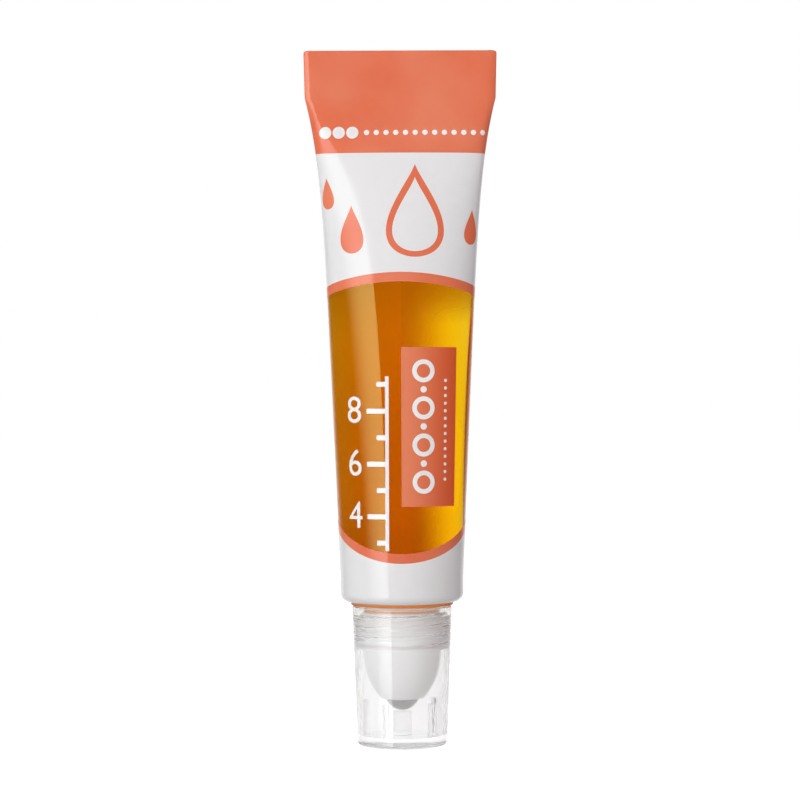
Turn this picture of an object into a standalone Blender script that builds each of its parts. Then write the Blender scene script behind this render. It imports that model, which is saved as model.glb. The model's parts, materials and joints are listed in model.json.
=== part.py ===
"""Nail oil rollerball: a crimped clear squeeze tube that stands on its screw cap.

Run with: blender --background --python part.py
Metres, +Z up. The origin is the middle of the cap's closed end, on which the part stands.
The crimp runs along X and the printed front faces -Y.
"""
import math

import bmesh
import bpy
from mathutils import Matrix, Vector

MM = 0.001

# Clearances between pieces
SEAT_GAP = 0.25 * MM
BALL_GAP = 0.1 * MM
PIN_GAP = 0.2 * MM
RIM_GAP = 0.2 * MM
BORE_GAP = 0.45 * MM

# Cap: tapered cup with a pin that holds the ball shut and short ribs inside its wall
CAP_END_THICKNESS = 1.6 * MM
CAP_WALL = 0.98 * MM
CAP_DRAFT = 0.8 * MM
CAP_BORE_DRAFT = 0.35 * MM
CAP_EDGE_ROUNDING = 0.5 * MM
CAP_RIM_ROUNDING = 0.2 * MM
THREAD_ROOM = 0.25 * MM
THREAD_LEDGE_DROP = 0.6 * MM
PIN_DIAMETER = 2.8 * MM
PIN_LENGTH = 3.5 * MM
RIB_COUNT = 5
RIB_WIDTH = 0.6 * MM
RIB_DEPTH = 0.5 * MM
RIB_HEIGHT = 5.2 * MM
FIRST_RIB_ANGLE = math.radians(-114)

# Roller ball and the white housing that holds it
BALL_DIAMETER = 5.5 * MM
LIP_PAST_EQUATOR = 0.9 * MM
LIP_LAND = 0.55 * MM
DOME_HEIGHT = 7.75 * MM
FLANGE_THICKNESS = 0.3 * MM
FLANGE_OVERHANG = 0.2 * MM
PLUG_LENGTH = 5.4 * MM
PLUG_WALL = 0.85 * MM
PLUG_CHAMFER = 0.4 * MM
SNAP_BEAD = 0.2 * MM
SNAP_BEAD_WIDTH = 1.0 * MM
FEED_HOLE_DIAMETER = 2.0 * MM
SOCKET_FLOOR = 1.0 * MM
FUNNEL_HEIGHT = 1.4 * MM

# Tube head: clear moulded shoulder and neck
NECK_DIAMETER = 11.6 * MM
NECK_WALL = 0.9 * MM
NECK_LENGTH = 6.05 * MM
NECK_CHAMFER = 0.3 * MM
COLLAR_HEIGHT = 0.4 * MM
COLLAR_STEP = 0.2 * MM
SHOULDER_THICKNESS = 1.0 * MM
SKIRT_WALL = 1.2 * MM
SKIRT_HEIGHT = 1.5 * MM

# Sleeve: extruded tube, rounded over the shoulder and welded flat at the far end
TUBE_DIAMETER = 19.0 * MM
SLEEVE_WALL = 0.5 * MM
SLEEVE_LENGTH = 85.0 * MM
SHOULDER_ROUNDING = 1.5 * MM
SLEEVE_LIP = 0.3 * MM
ROUND_LENGTH = 4.1 * MM
SEAL_LENGTH = 7.3 * MM
SEAL_TAPER = 0.17 * MM
SEAL_CORNER_ROUNDING = 0.45 * MM
# How the half width grows from the round end to the seal: a straight share and a late flare
STRAIGHT_SHARE = 0.62
FLARE_POWER = 8
# How square the section is: an ellipse at the round end, a slab with blunt ends at the seal
SEAL_BLUNTNESS = 0.15
BLUNTING_POWER = 4
# Where the pocket between the walls closes, and the slit that is left there
POCKET_SHARE = 0.982
SLIT = 0.06 * MM
FILL_HEIGHT_SHARE = 0.79

# Fineness of the round faces
TURN_STEPS = 48
ARC_STEPS = 4
DOME_STEPS = 12
SOCKET_STEPS = 7
BALL_SEGMENTS = 28
BALL_RINGS = 16
SECTION_POINTS = 52
SLEEVE_RINGS = 15
OIL_RINGS = 9
GIRTH_SAMPLES = 240
GIRTH_ROUNDS = 40
CUT_OVERRUN = 1.0 * MM
MERGE_DISTANCE = 0.00001 * MM
SHARP_ANGLE = math.radians(35)

# Radii that follow from the sizes above
BALL_R = BALL_DIAMETER / 2
SOCKET_R = BALL_R + BALL_GAP
LIP_R = math.sqrt(SOCKET_R**2 - LIP_PAST_EQUATOR**2)
LIP_FACE_R = LIP_R + LIP_LAND
FEED_HOLE_R = FEED_HOLE_DIAMETER / 2
NECK_R = NECK_DIAMETER / 2
NECK_BORE_R = NECK_R - NECK_WALL
PLUG_R = NECK_BORE_R - SEAT_GAP
CHANNEL_R = PLUG_R - PLUG_WALL
FLANGE_R = NECK_R + FLANGE_OVERHANG
CAP_BORE_R = FLANGE_R + BORE_GAP
THREAD_BORE_R = CAP_BORE_R + THREAD_ROOM
CAP_RIM_R = THREAD_BORE_R + CAP_WALL
CAP_END_R = CAP_RIM_R - CAP_DRAFT
CAP_FLOOR_R = CAP_BORE_R - CAP_BORE_DRAFT
PIN_R = PIN_DIAMETER / 2
TUBE_R = TUBE_DIAMETER / 2
SLEEVE_LIP_R = TUBE_R - SHOULDER_ROUNDING + SLEEVE_LIP
REBATE_R = SLEEVE_LIP_R - SEAT_GAP
COLLAR_R = REBATE_R - COLLAR_STEP
SKIRT_R = TUBE_R - SLEEVE_WALL - SEAT_GAP
SKIRT_BORE_R = SKIRT_R - SKIRT_WALL
SEAL_HALF_WIDTH = math.pi * TUBE_R / 2
SEAL_HALF_THICKNESS = SLEEVE_WALL

# Heights, stacked up from the cap's closed end
PIN_TOP = CAP_END_THICKNESS + PIN_LENGTH
BALL_Z = PIN_TOP + PIN_GAP + BALL_R
LIP_Z = BALL_Z - LIP_PAST_EQUATOR
FLANGE_Z = LIP_Z + DOME_HEIGHT
FLANGE_TOP = FLANGE_Z + FLANGE_THICKNESS
NECK_END = FLANGE_TOP + SEAT_GAP
PLUG_TOP = FLANGE_TOP + PLUG_LENGTH
SNAP_Z = (FLANGE_TOP + PLUG_TOP) / 2
COLLAR_Z = NECK_END + NECK_LENGTH
CAP_RIM_Z = COLLAR_Z - RIM_GAP
CAP_LEDGE_Z = NECK_END - THREAD_LEDGE_DROP
SLEEVE_Z = COLLAR_Z + COLLAR_HEIGHT
SHOULDER_FLOOR_Z = COLLAR_Z + SHOULDER_THICKNESS
ROUNDING_Z = SLEEVE_Z + SHOULDER_ROUNDING
SKIRT_TOP = SHOULDER_FLOOR_Z + SKIRT_HEIGHT
ROUND_END_Z = SLEEVE_Z + ROUND_LENGTH
SLEEVE_TOP = SLEEVE_Z + SLEEVE_LENGTH
SEAL_Z = SLEEVE_TOP - SEAL_LENGTH
OIL_LEVEL_Z = SHOULDER_FLOOR_Z + (SEAL_Z - SHOULDER_FLOOR_Z) * FILL_HEIGHT_SHARE


def clear_scene():
    """Remove whatever the start-up scene holds."""
    for thing in list(bpy.data.objects):
        bpy.data.objects.remove(thing, do_unlink=True)


def make_collection(name):
    """A new collection in the scene."""
    group = bpy.data.collections.new(name)
    bpy.context.scene.collection.children.link(group)
    return group


def make_material(name, colour, roughness, metallic=0.0):
    """A Principled material of one colour."""
    mat = bpy.data.materials.new(name)
    mat.use_nodes = True
    shader = mat.node_tree.nodes["Principled BSDF"]
    shader.inputs["Base Color"].default_value = (*colour, 1.0)
    shader.inputs["Roughness"].default_value = roughness
    shader.inputs["Metallic"].default_value = metallic
    mat.diffuse_color = (*colour, 1.0)
    return mat


def make_empty(name, place, parent, group):
    """An empty that marks a joint's axis."""
    axis = bpy.data.objects.new(name, None)
    axis.empty_display_size = TUBE_R
    axis.location = place
    axis.parent = parent
    group.objects.link(axis)
    return axis


def make_piece(name, mesh, group, mat, parent=None):
    """An object that carries a mesh and its material."""
    piece = bpy.data.objects.new(name, mesh)
    mesh.materials.append(mat)
    piece.parent = parent
    group.objects.link(piece)
    return piece


def shade(mesh):
    """Smooth round faces, with the real corners kept sharp."""
    mesh.shade_smooth()
    mesh.set_sharp_from_angle(angle=SHARP_ANGLE)


def arc(centre, radius, start, end, steps=ARC_STEPS):
    """Points on a circle in the (radius, height) plane, from one angle in degrees to another."""
    points = []
    for i in range(steps + 1):
        angle = math.radians(start + (end - start) * i / steps)
        points.append((centre[0] + radius * math.cos(angle), centre[1] + radius * math.sin(angle)))
    return points


def turned_piece(name, profile, closed, group, mat, parent=None):
    """A profile of (radius, height) points, turned once around the vertical axis."""
    mesh = bpy.data.meshes.new(name)
    points = [(radius, 0, height) for radius, height in profile]
    edges = [(i, i + 1) for i in range(len(points) - 1)]
    if closed:
        edges.append((len(points) - 1, 0))
    mesh.from_pydata(points, edges, [])
    piece = make_piece(name, mesh, group, mat, parent)
    screw = piece.modifiers.new("turn", "SCREW")
    screw.axis = "Z"
    screw.angle = 2 * math.pi
    screw.steps = TURN_STEPS
    screw.render_steps = TURN_STEPS
    screw.use_merge_vertices = True
    screw.merge_threshold = MERGE_DISTANCE
    screw.use_smooth_shade = True
    return piece


def half_width(share):
    """Half the sleeve's width at a share of the way from its round end to the seal."""
    growth = STRAIGHT_SHARE * share + (1 - STRAIGHT_SHARE) * share**FLARE_POWER
    return TUBE_R + (SEAL_HALF_WIDTH - SEAL_TAPER - TUBE_R) * growth


def section_power(share):
    """The power of the section's depth curve: 1 is an ellipse, near 0 a slab."""
    return 1 - (1 - SEAL_BLUNTNESS) * share**BLUNTING_POWER


def section_point(angle, width, depth, power):
    """A point of the section with these half sizes."""
    rise = math.sin(angle)
    return (width * math.cos(angle), math.copysign(depth * abs(rise) ** power, rise))


def girth(width, depth, power):
    """The length around a section."""
    angles = [2 * math.pi * i / GIRTH_SAMPLES for i in range(GIRTH_SAMPLES + 1)]
    points = [Vector(section_point(angle, width, depth, power)) for angle in angles]
    return sum((b - a).length for a, b in zip(points, points[1:]))


def half_depth(share):
    """Half the sleeve's depth there: the walls bend but don't stretch, so the girth stays."""
    width, power = half_width(share), section_power(share)
    low, high = 0.0, TUBE_R
    for _ in range(GIRTH_ROUNDS):
        middle = (low + high) / 2
        if girth(width, middle, power) < math.pi * TUBE_DIAMETER:
            low = middle
        else:
            high = middle
    return math.hypot(low, SEAL_HALF_THICKNESS * share**BLUNTING_POWER)


def ring(height, width, depth, power=1.0, inset=0.0):
    """One closed ring of the sleeve's section, moved in from its outline by inset."""
    points = []
    for i in range(SECTION_POINTS):
        angle = 2 * math.pi * i / SECTION_POINTS
        step = math.pi / GIRTH_SAMPLES
        here = Vector(section_point(angle, width, depth, power))
        before = Vector(section_point(angle - step, width, depth, power))
        after = Vector(section_point(angle + step, width, depth, power))
        along = (after - before).normalized()
        place = here - Vector((along.y, -along.x)) * inset
        if inset and i % (SECTION_POINTS // 2):
            side = math.copysign(1, here.y)
            place.y = side * max(side * place.y, SLIT / 2)
        points.append(Vector((place.x, place.y, height)))
    return points


def round_ring(radius, height):
    """A ring of the round end."""
    return ring(height, radius, radius)


def sleeve_rings(top_share, count, inset):
    """Rings of the sleeve's outline from its round end towards the seal, closer near the seal."""
    rings = []
    for i in range(count + 1):
        share = top_share * (1 - (1 - i / count) ** 2)
        height = ROUND_END_Z + (SEAL_Z - ROUND_END_Z) * share
        size = (half_width(share), half_depth(share), section_power(share))
        rings.append(ring(height, *size, inset=inset))
    return rings


def loft(name, rings):
    """A closed body through rings of equal point counts, the lowest first."""
    bm = bmesh.new()
    rows = [[bm.verts.new(point) for point in points] for points in rings]
    for low, high in zip(rows, rows[1:]):
        for i in range(SECTION_POINTS):
            j = (i + 1) % SECTION_POINTS
            bm.faces.new((low[i], low[j], high[j], high[i]))
    bm.faces.new(reversed(rows[0]))
    bm.faces.new(rows[-1])
    mesh = bpy.data.meshes.new(name)
    bm.to_mesh(mesh)
    bm.free()
    shade(mesh)
    return mesh


def as_cutter(piece):
    """Leave a piece out of the model, so that it only shapes another."""
    piece.hide_render = True
    piece.display_type = "WIRE"


def shaped_by(piece, other, operation):
    """Cut a piece with another, or join the other to it."""
    boolean = piece.modifiers.new(operation.lower(), "BOOLEAN")
    boolean.operation = operation
    boolean.solver = "EXACT"
    boolean.object = other
    as_cutter(other)


def make_cap(group, tools, mat):
    """The clear cap: cup, pin and thread room in one turned profile, then the ribs."""
    profile = [(0, PIN_TOP), (PIN_R, PIN_TOP), (PIN_R, CAP_END_THICKNESS)]
    profile += [(CAP_FLOOR_R, CAP_END_THICKNESS), (CAP_BORE_R, CAP_LEDGE_Z)]
    profile += [(THREAD_BORE_R, CAP_LEDGE_Z + THREAD_ROOM), (THREAD_BORE_R, CAP_RIM_Z)]
    rim_centre = (CAP_RIM_R - CAP_RIM_ROUNDING, CAP_RIM_Z - CAP_RIM_ROUNDING)
    profile += arc(rim_centre, CAP_RIM_ROUNDING, 90, 0)
    profile += arc((CAP_END_R - CAP_EDGE_ROUNDING, CAP_EDGE_ROUNDING), CAP_EDGE_ROUNDING, 0, -90)
    profile.append((0, 0))
    cap = turned_piece("cap", profile, False, group, mat)
    shaped_by(cap, make_ribs(tools, mat), "UNION")


def make_ribs(tools, mat):
    """The ribs on the inside of the cap's wall, each rooted in the wall and in the floor."""
    inner = CAP_FLOOR_R - RIB_DEPTH
    outer = CAP_FLOOR_R + CAP_WALL / 2
    low = CAP_END_THICKNESS / 2
    high = CAP_END_THICKNESS + RIB_HEIGHT
    centre = Matrix.Translation(((inner + outer) / 2, 0, (low + high) / 2))
    size = Matrix.Diagonal((outer - inner, RIB_WIDTH, high - low, 1.0))
    bm = bmesh.new()
    for i in range(RIB_COUNT):
        turn = Matrix.Rotation(FIRST_RIB_ANGLE + 2 * math.pi * i / RIB_COUNT, 4, "Z")
        bmesh.ops.create_cube(bm, size=1.0, matrix=turn @ centre @ size)
    mesh = bpy.data.meshes.new("cap_ribs")
    bm.to_mesh(mesh)
    bm.free()
    return make_piece("cap_ribs", mesh, tools, mat)


def dome_profile():
    """The dome's outside, from its flange down to the lip's flat face: part of an ellipse."""
    cut = math.acos(LIP_FACE_R / FLANGE_R)
    height = DOME_HEIGHT / math.sin(cut)
    points = []
    for i in range(DOME_STEPS + 1):
        angle = cut * i / DOME_STEPS
        points.append((FLANGE_R * math.cos(angle), FLANGE_Z - height * math.sin(angle)))
    return points


def make_roller_housing(group, mat, parent):
    """The white fitment: plug with snap bead, flange, dome, ball socket and feed channel."""
    profile = [(CHANNEL_R, PLUG_TOP), (PLUG_R - PLUG_CHAMFER, PLUG_TOP)]
    profile += [(PLUG_R, PLUG_TOP - PLUG_CHAMFER), (PLUG_R, SNAP_Z + SNAP_BEAD_WIDTH / 2)]
    profile += [(PLUG_R + SNAP_BEAD, SNAP_Z), (PLUG_R, SNAP_Z - SNAP_BEAD_WIDTH / 2)]
    profile += [(PLUG_R, FLANGE_TOP), (FLANGE_R, FLANGE_TOP)]
    profile += dome_profile()
    lip_angle = -math.degrees(math.asin(LIP_PAST_EQUATOR / SOCKET_R))
    hole_angle = math.degrees(math.acos(FEED_HOLE_R / SOCKET_R))
    profile += arc((0, BALL_Z), SOCKET_R, lip_angle, hole_angle, SOCKET_STEPS)
    funnel_z = BALL_Z + SOCKET_R + SOCKET_FLOOR
    profile += [(FEED_HOLE_R, funnel_z), (CHANNEL_R, funnel_z + FUNNEL_HEIGHT)]
    turned_piece("roller_housing", profile, True, group, mat, parent)


def make_roller_ball(group, mat, parent):
    """The steel ball, with its origin at its centre."""
    mesh = bpy.data.meshes.new("roller_ball")
    bm = bmesh.new()
    size = {"u_segments": BALL_SEGMENTS, "v_segments": BALL_RINGS, "radius": BALL_R}
    bmesh.ops.create_uvsphere(bm, **size)
    bm.to_mesh(mesh)
    bm.free()
    mesh.shade_smooth()
    ball = make_piece("roller_ball", mesh, group, mat, parent)
    ball.location = (0, 0, BALL_Z)


def make_tube_head(group, mat, parent):
    """The clear shoulder: weld skirt, rebate for the sleeve's lip, collar and hollow neck."""
    profile = [(SKIRT_BORE_R, SKIRT_TOP), (SKIRT_R, SKIRT_TOP)]
    corner_radius = SHOULDER_ROUNDING - SLEEVE_WALL - SEAT_GAP
    corner = arc((TUBE_R - SHOULDER_ROUNDING, ROUNDING_Z), corner_radius, 0, -90)
    profile += [point for point in corner if point[0] > REBATE_R]
    seat_z = ROUNDING_Z - corner_radius
    profile += [(REBATE_R, seat_z), (REBATE_R, SLEEVE_Z), (COLLAR_R, SLEEVE_Z), (COLLAR_R, COLLAR_Z)]
    profile += [(NECK_R, COLLAR_Z), (NECK_R, NECK_END + NECK_CHAMFER)]
    profile += [(NECK_R - NECK_CHAMFER, NECK_END), (NECK_BORE_R, NECK_END)]
    profile += [(NECK_BORE_R, SNAP_Z - SNAP_BEAD_WIDTH / 2), (NECK_BORE_R + SNAP_BEAD, SNAP_Z)]
    profile += [(NECK_BORE_R, SNAP_Z + SNAP_BEAD_WIDTH / 2), (NECK_BORE_R, SHOULDER_FLOOR_Z)]
    profile.append((SKIRT_BORE_R, SHOULDER_FLOOR_Z))
    turned_piece("tube_head", profile, True, group, mat, parent)


def corner_rings(inset, start_radius):
    """Rings around the rounded shoulder corner, from a radius outwards to the straight wall."""
    centre = (TUBE_R - SHOULDER_ROUNDING, ROUNDING_Z)
    corner = arc(centre, SHOULDER_ROUNDING - inset, -90, 0)
    return [round_ring(*point) for point in corner if point[0] > start_radius]


def seal_rings():
    """Rings of the flat welded end, with its two top corners rounded."""
    shape = (SEAL_HALF_THICKNESS, SEAL_BLUNTNESS)
    rings = []
    for radius, height in arc((0, SLEEVE_TOP - SEAL_CORNER_ROUNDING), SEAL_CORNER_ROUNDING, 0, 90):
        rings.append(ring(height, SEAL_HALF_WIDTH - SEAL_CORNER_ROUNDING + radius, *shape))
    return rings


def make_sleeve(group, tools, mat, parent):
    """The squeeze tube: its outer body from round to flat, less the same form one wall in."""
    rings = corner_rings(0, 0) + sleeve_rings(1, SLEEVE_RINGS, 0) + seal_rings()
    sleeve = make_piece("sleeve", loft("sleeve", rings), group, mat, parent)
    rings = [round_ring(SLEEVE_LIP_R, SLEEVE_Z - CUT_OVERRUN)]
    rings.append(round_ring(SLEEVE_LIP_R, SLEEVE_Z + SLEEVE_WALL))
    rings += corner_rings(SLEEVE_WALL, SLEEVE_LIP_R)
    rings += sleeve_rings(POCKET_SHARE, SLEEVE_RINGS, SLEEVE_WALL)
    pocket = make_piece("sleeve_pocket", loft("sleeve_pocket", rings), tools, mat, parent)
    shaped_by(sleeve, pocket, "DIFFERENCE")


def make_oil(group, mat, parent):
    """The filling, from the feed channel in the plug up to its level in the sleeve."""
    funnel_top = BALL_Z + SOCKET_R + SOCKET_FLOOR + FUNNEL_HEIGHT
    steps = [(CHANNEL_R, funnel_top, PLUG_TOP), (NECK_BORE_R, PLUG_TOP, SHOULDER_FLOOR_Z)]
    steps.append((SKIRT_BORE_R, SHOULDER_FLOOR_Z, SKIRT_TOP))
    rings = []
    for radius, low, high in steps:
        rings.append(round_ring(radius - SEAT_GAP, low + SEAT_GAP))
        rings.append(round_ring(radius - SEAT_GAP, high + SEAT_GAP))
    rings.append(round_ring(SKIRT_R, SKIRT_TOP + SEAT_GAP))
    level_share = (OIL_LEVEL_Z - ROUND_END_Z) / (SEAL_Z - ROUND_END_Z)
    rings += sleeve_rings(level_share, OIL_RINGS, SLEEVE_WALL + SEAT_GAP)
    make_piece("oil", loft("oil", rings), group, mat, parent)


def build():
    """Make every piece, carried by an empty on the axis that it moves about."""
    clear_scene()
    group = make_collection("nail_oil_rollerball")
    tools = make_collection("cutters")
    clear = make_material("clear_plastic", (0.86, 0.87, 0.88), 0.08)
    printed = make_material("printed_sleeve", (0.84, 0.84, 0.85), 0.22)
    white = make_material("white_plastic", (0.88, 0.88, 0.87), 0.35)
    steel = make_material("polished_steel", (0.62, 0.62, 0.61), 0.12, 1.0)
    amber = make_material("amber_oil", (0.75, 0.3, 0.01), 0.05)
    lift = make_empty("cap_lift_axis", (0, 0, 0), None, group)
    turn = make_empty("cap_turn_axis", (0, 0, 0), lift, group)
    make_cap(group, tools, clear)
    make_roller_housing(group, white, lift)
    make_roller_ball(group, steel, lift)
    make_tube_head(group, clear, turn)
    make_sleeve(group, tools, printed, turn)
    make_oil(group, amber, turn)


build()
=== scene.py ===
# %% [markdown]
# # A roller tube of nail oil
# The object is a clear squeeze tube that stands on its screw cap. The tube is round at the cap
# and pressed flat at the top. Its print leaves a window, and the amber oil shows through it.
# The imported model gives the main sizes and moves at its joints. This lesson builds the fine
# surfaces, the print and the finishes around it, and lights them like a product picture.

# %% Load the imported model
import json
import math

import bmesh
import bpy
import numpy as np
from mathutils import Matrix, Vector

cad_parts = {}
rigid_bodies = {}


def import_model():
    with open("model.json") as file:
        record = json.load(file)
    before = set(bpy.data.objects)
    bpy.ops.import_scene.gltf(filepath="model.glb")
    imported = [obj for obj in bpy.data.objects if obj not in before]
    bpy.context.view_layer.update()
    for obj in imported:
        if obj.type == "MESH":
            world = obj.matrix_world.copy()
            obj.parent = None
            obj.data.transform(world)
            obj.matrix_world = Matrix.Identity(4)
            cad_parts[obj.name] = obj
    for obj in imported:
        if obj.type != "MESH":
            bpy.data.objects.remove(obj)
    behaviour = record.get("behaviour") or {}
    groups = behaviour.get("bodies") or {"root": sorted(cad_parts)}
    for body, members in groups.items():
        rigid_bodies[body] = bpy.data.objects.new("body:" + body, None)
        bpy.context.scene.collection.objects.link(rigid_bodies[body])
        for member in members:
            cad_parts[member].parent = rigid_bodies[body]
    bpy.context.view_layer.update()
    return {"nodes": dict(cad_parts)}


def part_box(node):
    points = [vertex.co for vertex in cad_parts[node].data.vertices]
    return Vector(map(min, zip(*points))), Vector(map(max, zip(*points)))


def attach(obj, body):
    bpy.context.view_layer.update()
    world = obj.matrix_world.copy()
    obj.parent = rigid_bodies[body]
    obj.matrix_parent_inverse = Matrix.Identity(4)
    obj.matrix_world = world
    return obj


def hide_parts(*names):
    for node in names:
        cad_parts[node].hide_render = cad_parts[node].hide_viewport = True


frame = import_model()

print("nodes:", sorted(frame["nodes"]))

# %% [markdown]
# Blender counts in metres, and this object is small, so lengths are written as a number times
# `MM`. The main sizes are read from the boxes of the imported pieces, so they can't drift from
# the model. A few sizes that no box shows, such as a bore, are written beside their piece.

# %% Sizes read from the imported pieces
MM = 0.001
sleeve_low, sleeve_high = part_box("sleeve")
_, cap_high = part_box("cap")
housing_low, housing_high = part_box("roller_housing")
ball_low, ball_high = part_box("roller_ball")
head_low, head_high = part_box("tube_head")
_, oil_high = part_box("oil")

TUBE_R = sleeve_high.y
SLEEVE_Z = sleeve_low.z
SLEEVE_TOP = sleeve_high.z
SEAL_HALF_WIDTH = sleeve_high.x
BALL_R = ball_high.x
BALL_Z = (ball_low.z + ball_high.z) / 2
SKIRT_TOP = head_high.z
print("tube radius", round(TUBE_R / MM, 2), "mm, whole height", round(SLEEVE_TOP / MM, 1), "mm")

# %% [markdown]
# ## The camera
# The picture was taken from the height of the tube's middle with a long lens, so upright lines
# stay upright. The camera leans by a fifth of a degree, because the tube in the picture does.

# %% Camera
CAMERA_DISTANCE = 360 * MM
CAMERA_HEIGHT = 53 * MM
CAMERA_ASIDE = -0.2 * MM
CAMERA_LEAN = math.radians(-0.22)
LENS_LENGTH = 105
SENSOR_WIDTH = 36

lens = bpy.data.cameras.new("camera")
lens.lens = LENS_LENGTH
lens.sensor_width = SENSOR_WIDTH
camera = bpy.data.objects.new("camera", lens)
bpy.context.scene.collection.objects.link(camera)
place = Matrix.Translation((CAMERA_ASIDE, -CAMERA_DISTANCE, CAMERA_HEIGHT))
tilt = Matrix.Rotation(math.radians(90), 4, "X") @ Matrix.Rotation(CAMERA_LEAN, 4, "Z")
camera.matrix_world = place @ tilt
bpy.context.scene.camera = camera
bpy.context.scene.view_settings.view_transform = "Standard"
print("camera at", [round(value / MM) for value in camera.location], "mm")

# %% [markdown]
# ## A small kit for shaders
# A material is a graph of nodes. Linking them one by one hides what they work out. So one class
# adds any node in one call, and another wraps an output so that sums are written as Python:
# `0.2 + 0.1 * grain` adds the two Math nodes that it needs.


# %% Wire
class Wire:
    """One output of a node, ready to be used in a sum."""

    def __init__(self, nodes, socket):
        self.nodes = nodes
        self.socket = socket

    def __add__(self, other):
        return self.nodes.maths("ADD", self, other)

    def __radd__(self, other):
        return self.nodes.maths("ADD", other, self)

    def __sub__(self, other):
        return self.nodes.maths("SUBTRACT", self, other)

    def __rsub__(self, other):
        return self.nodes.maths("SUBTRACT", other, self)

    def __mul__(self, other):
        return self.nodes.maths("MULTIPLY", self, other)

    def __rmul__(self, other):
        return self.nodes.maths("MULTIPLY", other, self)


# %% [markdown]
# The other class holds a node tree. Its `add` takes a node's type, its settings and its sockets.
# The shorter methods name the few mixes of nodes that this lesson uses again and again.


# %% Nodes
class Nodes:
    """A node tree, and the one way to add a node to it."""

    def __init__(self, tree):
        self.tree = tree
        tree.nodes.clear()

    def add(self, kind, settings, sockets, output=0):
        """Add a node: its settings first, then a value or a wire for each socket."""
        node = self.tree.nodes.new("ShaderNode" + kind)
        for name, value in settings.items():
            setattr(node, name, value)
        for name, value in sockets.items():
            if isinstance(value, Wire):
                self.tree.links.new(value.socket, node.inputs[name])
            else:
                node.inputs[name].default_value = value
        return Wire(self, node.outputs[output]) if node.outputs else None

    def maths(self, operation, first, second):
        """A Math node on two numbers or wires."""
        return self.add("Math", {"operation": operation}, {0: first, 1: second})

    def blend(self, share, first, second):
        """A colour between two colours."""
        return self.add("Mix", {"data_type": "RGBA"}, {0: share, 6: first, 7: second}, output=2)

    def between(self, value, low, high):
        """0 below low, 1 above high and an eased climb between them."""
        sockets = {"Value": value, "From Min": low, "From Max": high}
        return self.add("MapRange", {"interpolation_type": "SMOOTHSTEP"}, sockets)

    def either(self, choice, usual, other):
        """The usual number where the choice is 0, and the other one where it is 1."""
        return usual + (other - usual) * choice

    def ray(self, name):
        """1 for rays of one kind, such as Is Camera Ray, and 0 for the others."""
        return self.add("LightPath", {}, {}, output=name)

    def before_matt(self):
        """1 as long as the ray has met no matt face."""
        return self.maths("LESS_THAN", self.ray("Diffuse Depth"), 0.5)

    def place(self, axis):
        """X, Y or Z of the place on the object."""
        spot = self.add("TexCoord", {}, {}, output="Object")
        return self.add("SeparateXYZ", {}, {"Vector": spot}, output=axis)

    def speckle(self, size, detail=2.0):
        """Soft noise whose blotches have about this size."""
        where = self.add("TexCoord", {}, {}, output="Object")
        sockets = {"Vector": where, "Scale": 1 / size, "Detail": detail}
        return self.add("TexNoise", {}, sockets)

    def dents(self, height, depth):
        """A normal that tips with a height from 0 to 1."""
        return self.add("Bump", {}, {"Height": height, "Strength": 1.0, "Distance": depth})


def grey(value):
    """A colour with three equal shares."""
    return (value, value, value, 1.0)


BLACK = grey(0.0)
WHITE = grey(1.0)
print("black and white as colours:", BLACK, WHITE)

# %% [markdown]
# ## The studio
# The background is pure white, but white all round would wash out the clear parts: glass shows
# only what stands around it. So the world is even white to the camera only. Rays that mirror
# see white behind the object and nearly black sides, as in a studio with dark walls, and rays
# that bend through plastic or oil see paler sides. Matt faces are lit by a grey room, lighter
# at the back and darker at the right, where it has a faint warm tint. Each span is where one
# side of the room fades into the next, on a scale from -1 to 1 along an axis.

# %% World
ROOM_LEVEL = 0.54
RIGHT_LEVEL = 0.35
RIGHT_SPAN = (-0.2, 0.8)
RIGHT_TINT = (1.0, 0.84, 0.85, 1.0)
BACK_LEVEL = 0.36
BACK_SPAN = (0.1, 0.9)
BACK_SHADE = 0.25
MIRRORED_BACK = (0.62, 0.95)
MIRRORED_SIDE = 0.06
MIRRORED_FRONT = 0.05
BENT_BACK = (0.2, 0.5)
BENT_SIDE = 0.85
BENT_FRONT = 0.75
FRONT_SPAN = (0.1, 0.6)

world = bpy.data.worlds.new("studio")
world.use_nodes = True
bpy.context.scene.world = world
sky = Nodes(world.node_tree)
direction = sky.add("TexCoord", {}, {}, output="Generated")
across = sky.add("SeparateXYZ", {}, {"Vector": direction}, output="X")
along = sky.add("SeparateXYZ", {}, {"Vector": direction}, output="Y")
seen = sky.ray("Is Camera Ray")
bent = sky.ray("Is Transmission Ray")
mirrored = sky.maths("MAXIMUM", sky.ray("Is Glossy Ray"), bent) * sky.before_matt()
start, end = [sky.either(bent, *pair) for pair in zip(MIRRORED_BACK, BENT_BACK)]
behind = sky.between(along, start, end)
beside = sky.either(bent, MIRRORED_SIDE, BENT_SIDE)
ahead = sky.either(bent, MIRRORED_FRONT, BENT_FRONT)
in_front = sky.between(-1 * along, *FRONT_SPAN)
studio = beside + (1 - beside) * behind - (beside - ahead) * in_front
at_right = sky.between(across, *RIGHT_SPAN)
at_back = sky.between(along, *BACK_SPAN) * (1 - BACK_SHADE * at_right)
room = sky.either(at_right, ROOM_LEVEL, RIGHT_LEVEL) + BACK_LEVEL * at_back
matt = 1 - seen - mirrored
level = seen + mirrored * studio + matt * room
tint = sky.blend(matt * at_right, WHITE, RIGHT_TINT)
light = sky.add("Background", {}, {"Color": tint, "Strength": level})
sky.add("OutputWorld", {}, {"Surface": light})
print("the room lights the object at", ROOM_LEVEL, "and at", RIGHT_LEVEL, "on the right")

# %% [markdown]
# Three helpers serve every piece from here on: one starts a material, one turns a bmesh into a
# mesh, and one puts a mesh into the scene.


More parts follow.
